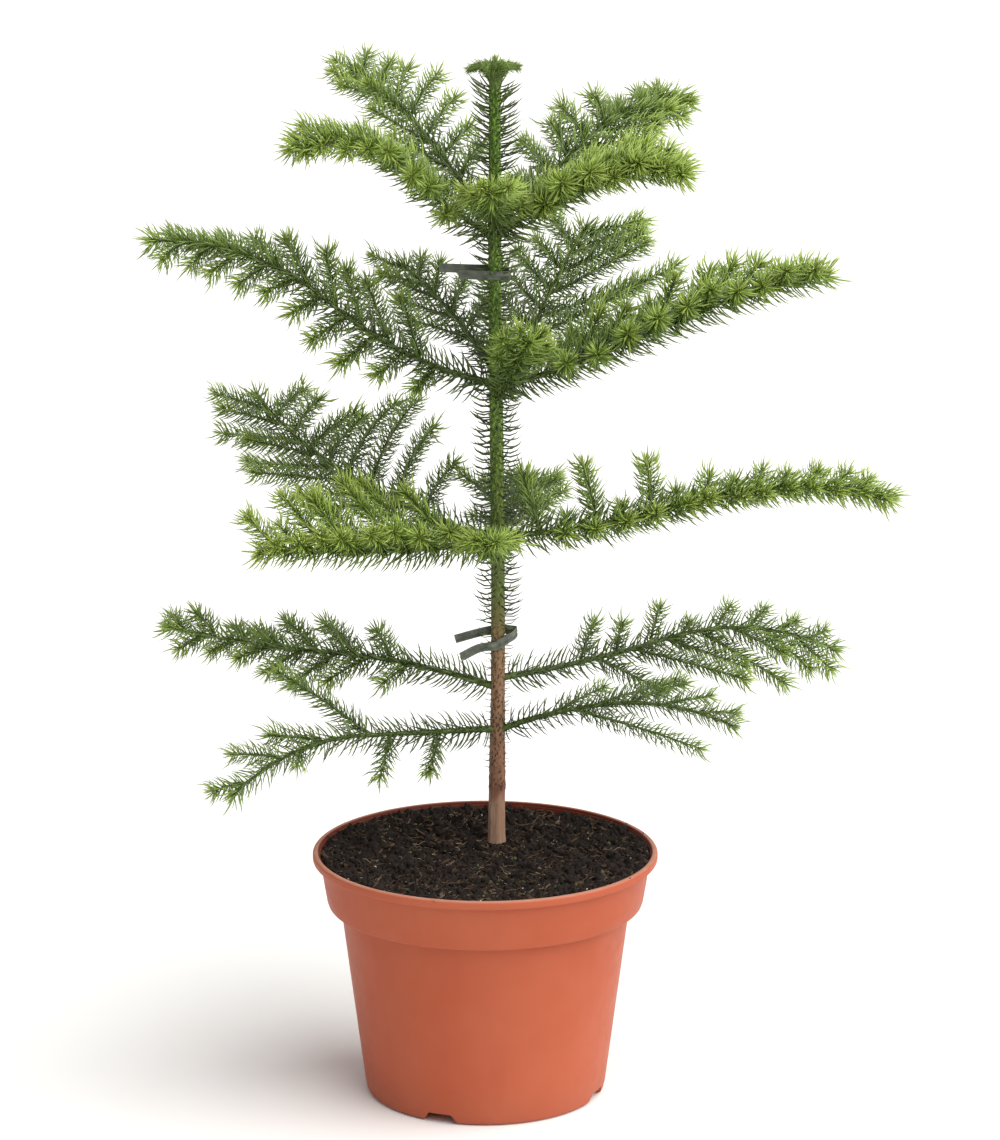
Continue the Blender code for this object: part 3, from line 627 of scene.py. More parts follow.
def soilBody(rim):
    bm = bmesh.new()
    rings = []
    for i in range(soil["rings"] + 1):
        t = 1 - i / soil["rings"]
        cx, cy = trunk["x"] * (1 - t), trunk["y"] * (1 - t)
        radius = 0.0004 + (rim - 0.0004) * t
        ring = []
        for a in roundAngles(soil["sides"]):
            x = cx + radius * math.cos(a)
            y = cy + radius * math.sin(a)
            ring.append(bm.verts.new((x, y, soilHeight(x, y))))
        rings.append(ring)
    under = []
    for z in soil["sideHeights"]:
        radius = potInnerRadius(z) - soil["wallGap"]
        corners = [(radius * math.cos(a), radius * math.sin(a), z) for a in roundAngles(soil["sides"])]
        under.append([bm.verts.new(corner) for corner in corners])
    rings = under[::-1] + rings
    bridge(bm, rings)
    bm.faces.new(rings[0][::-1])
    bm.faces.new(rings[-1])
    look = soilLook("moistPeat", soil["colour"], soil["paleColour"], 0.95)
    body = meshFrom("soilBody", bm, look, smoothAngle=70)
    finish(body, "peat", "soil")
    return body


def soilTop(body, rim):
    # The open surface that loose pieces lie on, clear of the rim and the trunk.
    topBm = bmesh.new()
    topBm.from_mesh(body.data)
    outside = []
    for face in topBm.faces:
        x, y, z = face.calc_center_median()
        low = z < soil["looseFrom"] or face.normal.z < soil["looseSlope"]
        atRim = math.hypot(x, y) > rim - soil["rimClear"]
        atTrunk = math.hypot(x - trunk["x"], y - trunk["y"]) < soil["trunkClear"]
        if low or atRim or atTrunk:
            outside.append(face)
    bmesh.ops.delete(topBm, geom=outside, context="FACES")
    top = bpy.data.meshes.new("soilTop")
    topBm.to_mesh(top)
    topBm.free()
    return top


def makeSoil():
    rim = potInnerRadius(soil["rimHeight"]) - 0.0004
    top = soilTop(soilBody(rim), rim)
    area = sum(f.area for f in top.polygons)
    tree = scatterTree()
    fine = crumbMesh("fineCrumb", 0.00085, 3)
    coarse = crumbMesh("coarseCrumb", 0.0017, 8, (1.25, 0.9, 0.7))
    chip = crumbMesh("barkChip", 0.0019, 15, (1.9, 0.7, 0.42))
    grain = crumbMesh("paleGrain", 0.00062, 21)
    longFibre = fibreMesh("longFibre", 0.0150, 0.00018, 0.34, 5)
    shortFibre = fibreMesh("shortFibre", 0.0070, 0.00014, 0.26, 9)
    curledFibre = fibreMesh("curledFibre", 0.0125, 0.00018, 0.62, 14)
    strip = fibreMesh("barkStrip", 0.0085, 0.00060, 0.50, 23)
    dark, pale = soil["colour"], soil["paleColour"]
    crumbLook = soilLook("peatCrumbs", shaded(dark, 1.25), pale, 0.95)
    darkLook = soilLook("wetCrumbs", shaded(dark, 0.75), shaded(pale, 0.7), 0.8)
    chipLook = soilLook("barkChips", (0.040, 0.024, 0.015), (0.13, 0.075, 0.045), 0.9)
    grainLook = plainLook("mineralGrains", (0.52, 0.49, 0.43), 0.7)
    tanFibre = plainLook("tanFibres", (0.115, 0.066, 0.034), 0.85)
    paleFibre = plainLook("paleFibres", (0.31, 0.245, 0.17), 0.85)
    mossLook = soilLook("greenCrumbs", (0.050, 0.058, 0.022), (0.105, 0.115, 0.050), 0.95)
    # Name, shape, share of the loose pieces, smallest and largest scale, tilt, seed, look.
    batches = (
        ("soilFineCrumbs", fine, 0.56, 0.55, 1.55, 3.14, 3, crumbLook),
        ("soilCoarseCrumbs", coarse, 0.23, 0.45, 1.60, 3.14, 5, darkLook),
        ("soilBarkChips", chip, 0.045, 0.5, 1.2, 0.7, 7, chipLook),
        ("soilPaleGrains", grain, 0.020, 0.4, 1.15, 3.14, 11, grainLook),
        ("soilTanFibres", shortFibre, 0.050, 0.5, 1.6, 0.55, 13, tanFibre),
        ("soilLongFibres", longFibre, 0.024, 0.5, 1.2, 0.35, 17, tanFibre),
        ("soilPaleFibres", curledFibre, 0.034, 0.35, 1.0, 0.5, 19, paleFibre),
        ("soilCurledStrips", strip, 0.010, 0.4, 1.1, 0.6, 29, chipLook),
        ("soilGreenCrumbs", fine, 0.022, 0.6, 1.5, 3.14, 31, mossLook),
    )
    for name, shape, share, smallest, largest, tilt, seed, look in batches:
        piece = linkMesh(name, top.copy())
        useTree(piece, tree, {
            "Piece": shape, "Density": soil["pieceCount"] * share * 2 / area,
            "Smallest": smallest, "Largest": largest, "Tilt": tilt, "Seed": seed, "Material": look,
        })
        finish(piece, "peat", "soil")
    for shape in (fine, coarse, chip, grain, longFibre, shortFibre, curledFibre, strip):
        bpy.data.objects.remove(shape, do_unlink=True)
    bpy.data.meshes.remove(top)
    print("soil done")


# The trunk

trunk = {
    "x": 0.0055,
    "y": 0.0230,
    "foot": 0.1195,
    "tip": 0.4985,
    "flareRadius": 0.0047,
    "radii": (
        (0.118, 0.0043), (0.150, 0.0041), (0.200, 0.0034),
        (0.300, 0.0033), (0.430, 0.0030), (0.500, 0.0026),
    ),
    "sway": 0.0008,
    "sides": 48,
    "rings": 780,
    "scarsFrom": 0.1475,
    "scarSpacing": 0.000110,
    "scarWidth": 0.00046,
    "scarHeight": 0.00085,
    "scarRise": 0.00034,
    "furrowTop": 0.156,  # the wood is furrowed below this
    "furrowFade": 0.012,
    "furrowDepth": 0.00042,
    "rippleDepth": 0.00014,
    "grooveDepth": 0.00012,
    "streakColour": (0.085, 0.045, 0.026),
    "wornColour": (0.52, 0.36, 0.26),
    "blotchColour": (0.040, 0.040, 0.014),
}


def trunkCentre(z):
    t = (z - trunk["foot"]) / (trunk["tip"] - trunk["foot"])
    sway = trunk["sway"]
    return np.array([trunk["x"] + sway * math.sin(5.5 * t), trunk["y"] + sway * math.sin(4.0 * t), z])


def trunkRadius(z):
    heights, radii = zip(*trunk["radii"])
    flare = (trunk["flareRadius"] - radii[0]) * math.exp(-(z - trunk["foot"]) / 0.0035)
    return float(np.interp(z, heights, radii)) + flare


def barkLook():
    look, shader, nodes, links = newLook("trunkBark", (0.2, 0.12, 0.06), 0.62, 0.35)
    coords = objectCoords(nodes)
    patchy = noiseOn(nodes, links, coords, 90, 5, 0.6, stretch=(1, 1, 0.35))
    wobble = nodes.new("ShaderNodeMath")
    wobble.operation = "MULTIPLY_ADD"
    links.new(patchy, wobble.inputs[0])
    wobble.inputs[1].default_value = 0.030
    links.new(partsOf(nodes, links, coords)["Z"], wobble.inputs[2])
    height = rangeOf(nodes, links, wobble.outputs["Value"], 0.133, 0.513, 0.0, 1.0)
    skin = rampOf(nodes, links, height, (
        (0.00, (0.32, 0.190, 0.125)), (0.066, (0.34, 0.195, 0.125)), (0.080, (0.17, 0.064, 0.034)),
        (0.100, (0.255, 0.125, 0.070)), (0.235, (0.29, 0.165, 0.085)), (0.290, (0.19, 0.135, 0.052)),
        (0.345, (0.095, 0.125, 0.028)), (0.610, (0.080, 0.140, 0.020)), (1.00, (0.070, 0.150, 0.018)),
    ))
    scars = rampOf(nodes, links, height, (
        (0.00, (0.34, 0.205, 0.135)), (0.080, (0.048, 0.020, 0.012)), (0.235, (0.050, 0.028, 0.016)),
        (0.290, (0.100, 0.090, 0.026)), (0.345, (0.170, 0.230, 0.042)), (0.610, (0.240, 0.395, 0.048)),
        (1.00, (0.250, 0.420, 0.050)),
    ))
    scar = nodes.new("ShaderNodeAttribute")
    scar.attribute_name = "scar"
    body = tintOf(nodes, links, skin, scars, scar.outputs["Fac"], (0.25, 0.75, 0.0, 1.0))
    streaks = noiseOn(nodes, links, coords, 420, 4, 0.6, stretch=(1, 1, 0.08))
    body = tintOf(nodes, links, body, trunk["streakColour"], streaks, (0.52, 0.72, 0.0, 0.45))
    # Worn wood shows in long pale streaks below the lowest scars.
    worn = noiseOn(nodes, links, coords, 330, 3, 0.6, stretch=(1, 1, 0.05))
    atFoot = rangeOf(nodes, links, partsOf(nodes, links, coords)["Z"], 0.146, 0.153, 0.85, 0.0)
    paleStreaks = productOf(nodes, links, rangeOf(nodes, links, worn, 0.50, 0.64, 0.0, 1.0), atFoot)
    body = mixOf(nodes, links, paleStreaks, body, trunk["wornColour"])
    blotches = noiseOn(nodes, links, coords, 260, 4, 0.6)
    body = tintOf(nodes, links, body, trunk["blotchColour"], blotches, (0.55, 0.75, 0.0, 0.35))
    links.new(body, shader.inputs["Base Color"])
    grit = noiseOn(nodes, links, coords, 900, 5, 0.65)
    bumpOn(nodes, links, shader, ((streaks, 0.0004, 0.6), (grit, 0.00012, 0.6)))
    return look


def makeTrunk():
    sides = trunk["sides"]
    heights = np.linspace(trunk["foot"], trunk["tip"], trunk["rings"])
    scarHeights = np.arange(trunk["scarsFrom"], trunk["tip"] - 0.001, trunk["scarSpacing"])
    rng = np.random.default_rng(4)
    count = len(scarHeights)
    scarTurns = np.radians(needle["goldenTurn"] * np.arange(count)) + rng.normal(0, 0.25, count)
    scarSizes = rng.uniform(0.45, 1.25, count)
    angles = math.tau * np.arange(sides) / sides
    bm = bmesh.new()
    rings = []
    scars = []
    for z in heights:
        centre = trunkCentre(z)
        base = trunkRadius(z)
        near = np.abs(scarHeights - z) < 3 * trunk["scarHeight"]
        # A scar is a small lens, taller than wide, standing a little proud.
        turned = (angles[:, None] - scarTurns[near][None, :] + math.pi) % math.tau - math.pi
        above = (scarHeights[near] - z) / trunk["scarHeight"]
        spread = (turned * base / trunk["scarWidth"]) ** 2 + above ** 2
        lens = np.exp(-spread) * scarSizes[near]
        furrows = trunk["furrowDepth"] * min(1.0, max(0.0, (trunk["furrowTop"] - z) / trunk["furrowFade"]))
        bumps = lens.max(axis=1) if near.any() else np.zeros(sides)
        ring = []
        for a, bump in zip(angles, bumps):
            ripple = noise.fractal(Vector((math.cos(a) * 2.2, math.sin(a) * 2.2, z * 130)), 0.8, 2.0, 3)
            groove = noise.noise(Vector((math.cos(a) * 6, math.sin(a) * 6, z * 30)))
            furrow = noise.noise(Vector((math.cos(a) * 4.5, math.sin(a) * 4.5, z * 14 + 7)))
            r = base + trunk["scarRise"] * bump + trunk["rippleDepth"] * ripple
            r = r + trunk["grooveDepth"] * groove - 0.0001 + furrows * furrow
            ring.append(bm.verts.new((centre[0] + r * math.cos(a), centre[1] + r * math.sin(a), z)))
        scars.extend(bumps)
        rings.append(ring)
    bm.faces.new(rings[0][::-1])
    bridge(bm, rings)
    bm.faces.new(rings[-1])
    mesh = bpy.data.meshes.new("trunkWood")
    bm.to_mesh(mesh)
    bm.free()
    mesh.shade_smooth()
    layer = mesh.attributes.new("scar", "FLOAT", "POINT")
    layer.data.foreach_set("value", np.array(scars, dtype=np.float32))
    made = linkMesh("trunkWood", mesh, barkLook())
    finish(made, "bark", "trunk")
    print("trunk done")


# The fronds

def frond(
    height, length, heading, climb, lift, fork, twig, gap, bare,
    sweep=(0.2, 0.2), sag=0.0, odd=None, close=0.25,
):
    # Sizes in mm and degrees. Pairs are (at the trunk, at the tip) or (left side, right side).
    # Odd twigs are named by side and count, with their share of length and what is added to their lift.
    return {
        "height": height / 1000,
        "length": length / 1000,
        "heading": heading,
        "climb": climb,
        "lift": lift,
        "fork": fork,
        "twig": (twig[0] / 1000, twig[1] / 1000),
        "gap": gap / 1000,
        "bare": bare,
        "sweep": sweep,
        "sag": sag,
        "odd": odd or {},
        "close": close,
    }


fronds = {
    "a_left": frond(
        424, 126, (205, 212), (33, 42, -18), (-5, 24), (60, 56), (26, 26), 15, 0.20, sag=0.20,
    ),
    "a_rear_left": frond(
        434, 114, (132, 142), (30, 42, 22), (8, 8), (58, 58), (34, 37), 16, 0.20, (0.2, -0.3),
    ),
    "a_rear_right": frond(
        433, 146, (52, 42), (18, 30, -4), (8, -16), (58, 56), (32, 36), 17, 0.22, (-0.3, 0.2),
    ),
    "a_right": frond(
        423, 108, (332, 342), (42, 27, -9), (24, 5), (58, 58), (28, 28), 14, 0.20, sag=0.15,
    ),
    "a_front": frond(428, 60, (268, 268), (30, 27, 20), (10, 10), (50, 50), (22, 22), 13, 0.30),
    "b_left": frond(
        352, 187, (194, 186), (14, 42, -1), (-50, 45), (70, 62), (25, 32), 18, 0.17, (0.1, 0.1), 0.10,
        {
            (-1, 0): (1.3, 10), (-1, 1): (1.25, 5), (-1, 4): (1, -15), (-1, 5): (1, -30), (-1, 6): (1, -45),
            (-1, 7): (1, -45), (-1, 8): (1, -40), (-1, 9): (1, -30),
        },
    ),
    "b_right": frond(
        350, 175, (342, 350), (18, 27, 12), (38, 20), (66, 70), (27, 26), 16, 0.17, (0.1, 0.1), 0.10,
    ),
    "b_rear_right": frond(
        347, 146, (76, 62), (5, 34, 30), (10, -14), (62, 50), (44, 78), 18, 0.24, (0.1, 0.1),
    ),
    "b_rear_left": frond(
        357, 88, (124, 132), (38, 30, 22), (8, 8), (58, 58), (34, 33), 16, 0.28, (0.1, 0.1),
    ),
    "b_front": frond(344, 56, (290, 296), (38, 44, 40), (15, 15), (50, 50), (22, 22), 13, 0.36),
    "c_rear_left": frond(
        272, 172, (155, 125), (14, 16, 28), (-14, 20), (60, 66), (54, 57), 18, 0.20, (0.0, -0.45),
    ),
    "c_left": frond(
        274, 130, (212, 205), (-2, 6, 4), (38, 60), (56, 66), (30, 43), 15, 0.16, odd={(-1, 6): (0.6, 0)},
    ),
    "c_right": frond(
        276, 197, (346, 355), (6, 19, -13), (52, 4), (112, 62), (18, 21), 15, 0.11, (-0.1, 0.1), 0.05,
        {
            (1, 0): (2.4, 0), (1, 1): (0.5, 0), (1, 2): (1.9, 0), (1, 3): (0.5, 0), (1, 4): (1.6, 0),
            (1, 5): (0.5, 0), (1, 6): (0.95, -12), (1, 7): (0.5, 0), (1, 8): (0.9, -16), (1, 9): (0.6, 0),
        },
        0.60,
    ),
    "c_front": frond(
        270, 56, (266, 262), (17, 15, 12), (10, 10), (50, 50), (20, 20), 13, 0.32, sag=0.10,
    ),
    "c_rear_right": frond(
        270, 92, (84, 74), (14, 10, 6), (12, 12), (58, 58), (30, 30), 16, 0.28, (-0.2, 0.2),
    ),
    "d_left": frond(
        199, 176, (165, 160), (15, 0, 8), (-8, 24), (72, 60), (28, 36), 21, 0.26, (0.1, 0.1), 0.30,
    ),
    "d_right": frond(
        204, 179, (18, 10), (4, 14, -28), (45, -40), (66, 46), (22, 46), 20, 0.24, (0.1, 0.1), 0.15,
        {(1, 0): (1.5, 0), (1, 3): (0.4, 0), (-1, 1): (1.3, 12), (-1, 3): (1.25, -22), (-1, 4): (0.8, 0)},
    ),
    "e_left": frond(
        178, 147, (205, 205), (4, 4, -40), (-40, 24), (66, 54), (28, 35), 27, 0.22, (0.1, 0.1), 0.15,
        {(1, 2): (0, 0), (1, 3): (0.5, 0), (1, 4): (0, 0), (-1, 0): (0, 0), (-1, 1): (1.7, 44)},
    ),
    "e_right": frond(
        177, 126, (338, 345), (26, 10, -22), (15, -30), (46, 34), (34, 42), 21, 0.26, (0.1, 0.1), 0.15,
        {
            (-1, 0): (2.2, -10), (-1, 1): (0, 0), (-1, 2): (0, 0),
            (-1, 3): (0, 0), (-1, 4): (0, 0), (1, 1): (1.3, 0),
        },
    ),
}

# From the top.
whorls = {"a": "topWhorl", "b": "secondWhorl", "c": "middleWhorl", "d": "fourthWhorl", "e": "lowestPair"}

shoots = {
    "boughRadius": 0.00145,
    "boughTipRadius": 0.00060,
    "twigRadius": 0.00080,
    "twigTipRadius": 0.00038,
    "boughSides": 9,
    "twigSides": 5,
    "darkColour": (0.040, 0.056, 0.016),
    "woodColour": (0.070, 0.112, 0.024),
    "paleColour": (0.125, 0.190, 0.034),
    "twigColour": (0.100, 0.160, 0.032),
    "tipColour": (0.105, 0.170, 0.030),
}

needle = {
    "boughSpacing": 0.00048,
    "twigSpacing": 0.00031,
    "boughLength": 0.0118,
    "twigLength": 0.0097,
    "boughLean": 60,
    "twigLean": 52,
    "baseSpacing": 0.00040,   # short needles that lie along the stems
    "twigBaseSpacing": 0.00075,
    "twigBaseLength": 0.0030,
    "baseLength": 0.0048,
    "baseLean": 24,
    "goldenTurn": 137.5,
    "leanSpread": 9,
    "aimSpread": 0.085,
    "bowSpread": 0.25,
    "lengthSpread": (0.82, 1.10),
    "youthSpread": 0.08,
    "paintedTopLight": 0.06,  # needles on top of a shoot get lighter tones: painted light from above
    "starDepth": 0.0046,
    "clawDepth": 0.0012,
}

# Each shape: bow, then (place along it, girth), as shares of its own length.
needleShapes = {
    "straight": (0.050, ((0.0, 0.034), (0.50, 0.037))),
    "curved": (0.120, ((0.0, 0.033), (0.52, 0.036))),
    "long": (0.070, ((0.0, 0.030), (0.35, 0.037), (0.72, 0.028))),
    "hooked": (0.165, ((0.0, 0.040), (0.38, 0.046), (0.74, 0.032))),
}

# From the oldest needles to the youngest; as the pick also carries painted light and shade, the darker tones
# stand for shade as well.
needleTones = {
    "deep": (0.060, 0.085, 0.038),
    "dark": (0.106, 0.152, 0.050),
    "mid": (0.146, 0.215, 0.056),
    "bright": (0.204, 0.303, 0.065),
    "light": (0.280, 0.395, 0.076),
    "fresh": (0.370, 0.490, 0.095),
}

# Needle age of each frond, from 0 to 1, with painted light and shade mixed in: upper whorls are newer, and
# within a whorl the rear fronds are set darker, as painted shade, and the front ones lighter, as painted
# light.
frondYouthAndLight = {
    "a_left": 0.62, "a_rear_left": 0.46, "a_rear_right": 0.48, "a_right": 0.66, "a_front": 0.62,
    "b_left": 0.43, "b_right": 0.56, "b_rear_right": 0.40, "b_rear_left": 0.36, "b_front": 0.60,
    "c_rear_left": 0.38, "c_left": 0.67, "c_right": 0.58, "c_front": 0.60, "c_rear_right": 0.38,
    "d_left": 0.47, "d_right": 0.40, "e_left": 0.36, "e_right": 0.34,
}

# How thick and long each frond's needles grow, against the usual.
frondLush = {
    "a_left": 1.30, "a_rear_left": 1.05, "a_rear_right": 1.25, "a_right": 1.60, "a_front": 1.20,
    "b_left": 1.25, "b_right": 1.40, "b_rear_right": 1.15, "b_rear_left": 1.00, "b_front": 1.15,
    "c_rear_left": 1.10, "c_left": 1.25, "c_right": 1.30, "c_front": 1.15, "c_rear_right": 1.00,
    "d_left": 1.15, "d_right": 1.05, "e_left": 1.05, "e_right": 0.85,
}


def midrib(name, steps=48):
    size = fronds[name]
    point = trunkCentre(size["height"])
    points = [point]
    for step in range(steps):
        s = (step + 0.5) / steps
        heading = size["heading"][0] * (1 - s) + size["heading"][1] * s
        climb = float(np.interp(s, (0, 0.5, 1), size["climb"]))
        point = point + direction(heading, climb) * size["length"] / steps
        points.append(point)
    return np.array(points)


def fullness(s, bare):
    rise = min(1.0, 0.8 + 0.2 * (s - bare) / 0.16)
    fall = 1.0 if s < 0.4 else 1.0 - 0.55 * ((s - 0.4) / 0.6) ** 1.2
    return rise * fall


def twigPaths(name, steps=8):
    size = fronds[name]
    rng = np.random.default_rng(sum(map(ord, name)))
    path = midrib(name)
    loose = 1.0 if size["odd"] else 2.0  # a frond with odd twigs keeps its places
    found = []
    for side in (1, -1):
        rank = 0 if side > 0 else 1
        s = size["bare"] + (0 if side > 0 else 0.45 * size["gap"] / size["length"])
        count = 0
        while s < 0.95:
            share, tilt = size["odd"].get((side, count), (1.0, 0))
            root, forward = along(path, s)
            flat = unit(np.array([-forward[1], forward[0], 0.0])) * side
            upward = unit(np.cross(forward, flat * side))
            lift = math.radians(size["lift"][rank] + tilt + rng.uniform(-8, 8) * loose)
            fork = math.radians(size["fork"][rank] * (1 - size["close"] * s) + rng.uniform(-5, 5))
            outward = math.cos(lift) * flat + math.sin(lift) * upward
            start = math.cos(fork) * forward + math.sin(fork) * outward
            length = size["twig"][rank] * fullness(s, size["bare"]) * rng.uniform(0.9, 1.1) ** loose * share
            point = root
            points = [root]
            for step in range(steps):
                u = (step + 0.5) / steps
                bent = start + size["sweep"][rank] * u * forward - size["sag"] * u * np.array([0, 0, 1.0])
                point = point + unit(bent) * length / steps
                points.append(point)
            if share:
                found.append((s, np.array(points)))
            count += 1
            s += size["gap"] / size["length"] * (1 - 0.25 * s) * rng.uniform(0.89, 1.11) ** (loose - 1)
    return found


def shootTree():
    tree, given, out = growTree("shootsAlongPaths", (("Sides", "Int", 6), ("Material", "Material", None)))
    curve = addNode(tree, "GeometryNodeMeshToCurve", {"Mesh": given["Geometry"]})
    girth = addNode(tree, "GeometryNodeInputNamedAttribute", {"Name": "girth"}, data_type="FLOAT")
    circle = {"Resolution": given["Sides"], "Radius": 1.0}
    ring = addNode(tree, "GeometryNodeCurvePrimitiveCircle", circle, mode="RADIUS")
    sized = addNode(tree, "GeometryNodeSetCurveRadius", {
        "Curve": curve.outputs["Curve"], "Radius": girth.outputs["Attribute"],
    })
    tube = addNode(tree, "GeometryNodeCurveToMesh", {
        "Curve": sized.outputs["Curve"], "Profile Curve": ring.outputs["Curve"], "Fill Caps": True,
    })
    if "Scale" in tube.inputs:
        tree.links.new(girth.outputs["Attribute"], tube.inputs["Scale"])
    return endTree(tree, out, tube.outputs["Mesh"], given["Material"])


def pathMesh(name, paths):
    points = []
    edges = []
    girths = []
    for path, radii in paths:
        first = len(points)
        points += [tuple(p) for p in path]
        girths += list(radii)
        edges += [(first + k, first + k + 1) for k in range(len(path) - 1)]
    mesh = bpy.data.meshes.new(name)
    mesh.from_pydata(points, edges, [])
    mesh.attributes.new("girth", "FLOAT", "POINT").data.foreach_set("value", girths)
    return linkMesh(name, mesh)


def needleShape(name):
    # A three-sided awl one unit long, closed at its foot and pointed at its tip, bowed towards +X.
    bow, stations = needleShapes[name]
    bm = bmesh.new()
    rings = []
    for place, girth in stations:
        shift = 4 * bow * place * (1 - place)
        corners = [(shift + girth * math.cos(a), girth * math.sin(a), place) for a in roundAngles(3)]
        rings.append([bm.verts.new(corner) for corner in corners])
    tip = bm.verts.new((0, 0, 1))
    bm.faces.new(rings[0][::-1])
    bridge(bm, rings)
    for k in range(3):
        bm.faces.new((rings[-1][k], rings[-1][(k + 1) % 3], tip))
    mesh = bpy.data.meshes.new(name + "Needle")
    bm.to_mesh(mesh)
    bm.free()
    mesh.shade_smooth()
    return linkMesh(name + "Needle", mesh)


def needleTree():
    sockets = (("Needle", "Object", None), ("Material", "Material", None))
    tree, given, out = growTree("needlesOnShoots", sockets)
    awl = addNode(tree, "GeometryNodeObjectInfo", {"Object": given["Needle"]})
    aim = addNode(tree, "GeometryNodeInputNamedAttribute", {"Name": "aim"}, data_type="FLOAT_VECTOR")
    bulge = addNode(tree, "GeometryNodeInputNamedAttribute", {"Name": "bulge"}, data_type="FLOAT_VECTOR")
    reach = addNode(tree, "GeometryNodeInputNamedAttribute", {"Name": "reach"}, data_type="FLOAT")
    turned = addNode(tree, "FunctionNodeAxesToRotation", primary_axis="Z", secondary_axis="X")
    tree.links.new(aim.outputs["Attribute"], turned.inputs[0])
    tree.links.new(bulge.outputs["Attribute"], turned.inputs[1])
    placed = addNode(tree, "GeometryNodeInstanceOnPoints", {
        "Points": given["Geometry"], "Instance": awl.outputs["Geometry"],
        "Rotation": turned.outputs["Rotation"], "Scale": reach.outputs["Attribute"],
    })
    return endTree(tree, out, placed.outputs["Instances"], given["Material"])


def unitRows(rows):
    return rows / np.linalg.norm(rows, axis=1, keepdims=True)


def alongMany(path, s):
    f = s * (len(path) - 1)
    i = np.minimum(f.astype(int), len(path) - 2)
    step = path[i + 1] - path[i]
    return path[i] + step * (f - i)[:, None], unitRows(step)


class NeedleBed:
    # Where each needle stands, which way it points and bows, how long it is, how young, and its shape.
    def __init__(self, seed):
        self.rng = np.random.default_rng(seed)
        self.rows = []

    def onShoot(self, path, girth, span, spacing, reach, lean, youth, shape):
        length = np.linalg.norm(np.diff(path, axis=0), axis=1).sum()
        count = max(2, int(length * (span[1] - span[0]) / spacing))
        s = span[0] + (span[1] - span[0]) * (np.arange(count) + self.rng.uniform(-0.3, 0.3, count)) / count
        s = np.clip(s, 0, 1)
        at, forward = alongMany(path, s)
        turn = self.rng.uniform(0, 360) + np.cumsum(needle["goldenTurn"] + self.rng.uniform(-12, 12, count))
        self.place(at, forward, turn, np.interp(s, (0, 1), girth), reach(s), lean(s), youth(s), shape)

    def crown(self, path, girth, count, reach, youth, shape):
        # The newest needles: a star spread round the tip, and a claw that closes over it.
        forward = unit(path[-1] - path[-2])
        u = (np.arange(count) + 0.5) / count
        first = self.rng.uniform(0, 360)
        turn = first + np.cumsum(needle["goldenTurn"] + self.rng.uniform(-10, 10, 2 * count))
        ahead = np.tile(forward, (count, 1))
        girths = np.full(count, girth)
        star = path[-1] - forward * needle["starDepth"] * (1 - u)[:, None]
        spread = reach * self.rng.uniform(0.80, 1.22, count)
        self.place(star, ahead, turn[:count], girths, spread, 64 - 34 * u, youth - 0.02 + 0.12 * u, shape)
        # The claw is set lighter still: new growth, and partly painted light that lifts the shaded middle of
        # the star.
        claw = path[-1] - forward * needle["clawDepth"] * (1 - u)[:, None]
        curl = reach * (0.66 - 0.14 * u)
        self.place(claw, ahead, turn[count:], girths, curl, 26 - 20 * u, youth + 0.22, "straight")

    def place(self, at, forward, turn, girth, reach, lean, youth, shape):
        count = len(at)
        a = np.radians(turn)[:, None]
        steep = np.abs(forward[:, 2:3]) > 0.95
        level = np.where(steep, np.array([[0, 1.0, 0]]), np.array([[0, 0, 1.0]]))
        right = unitRows(np.cross(forward, level))
        up = np.cross(right, forward)
        radial = np.cos(a) * up + np.sin(a) * right
        wander = needle["leanSpread"]
        lean = np.radians(lean + self.rng.uniform(-wander, wander, count))[:, None]
        aim = np.cos(lean) * forward + np.sin(lean) * radial
        aim = unitRows(aim + self.rng.normal(0, needle["aimSpread"], (count, 3)))
        bulge = radial * np.cos(lean) - forward * np.sin(lean)
        bulge = unitRows(bulge + self.rng.normal(0, needle["bowSpread"], (count, 3)))
        reach = reach * self.rng.uniform(*needle["lengthSpread"], count)
        youth = youth + self.rng.normal(0, needle["youthSpread"], count)
        # Needles that point up are set lighter: painted light from above.
        youth = youth + needle["paintedTopLight"] * radial[:, 2]
        foot = at + radial * np.asarray(girth).reshape(-1, 1) * 0.5
        shapes = np.full(count, list(needleShapes).index(shape))
        self.rows.append(np.column_stack([foot, aim, bulge, reach, youth, shapes]))


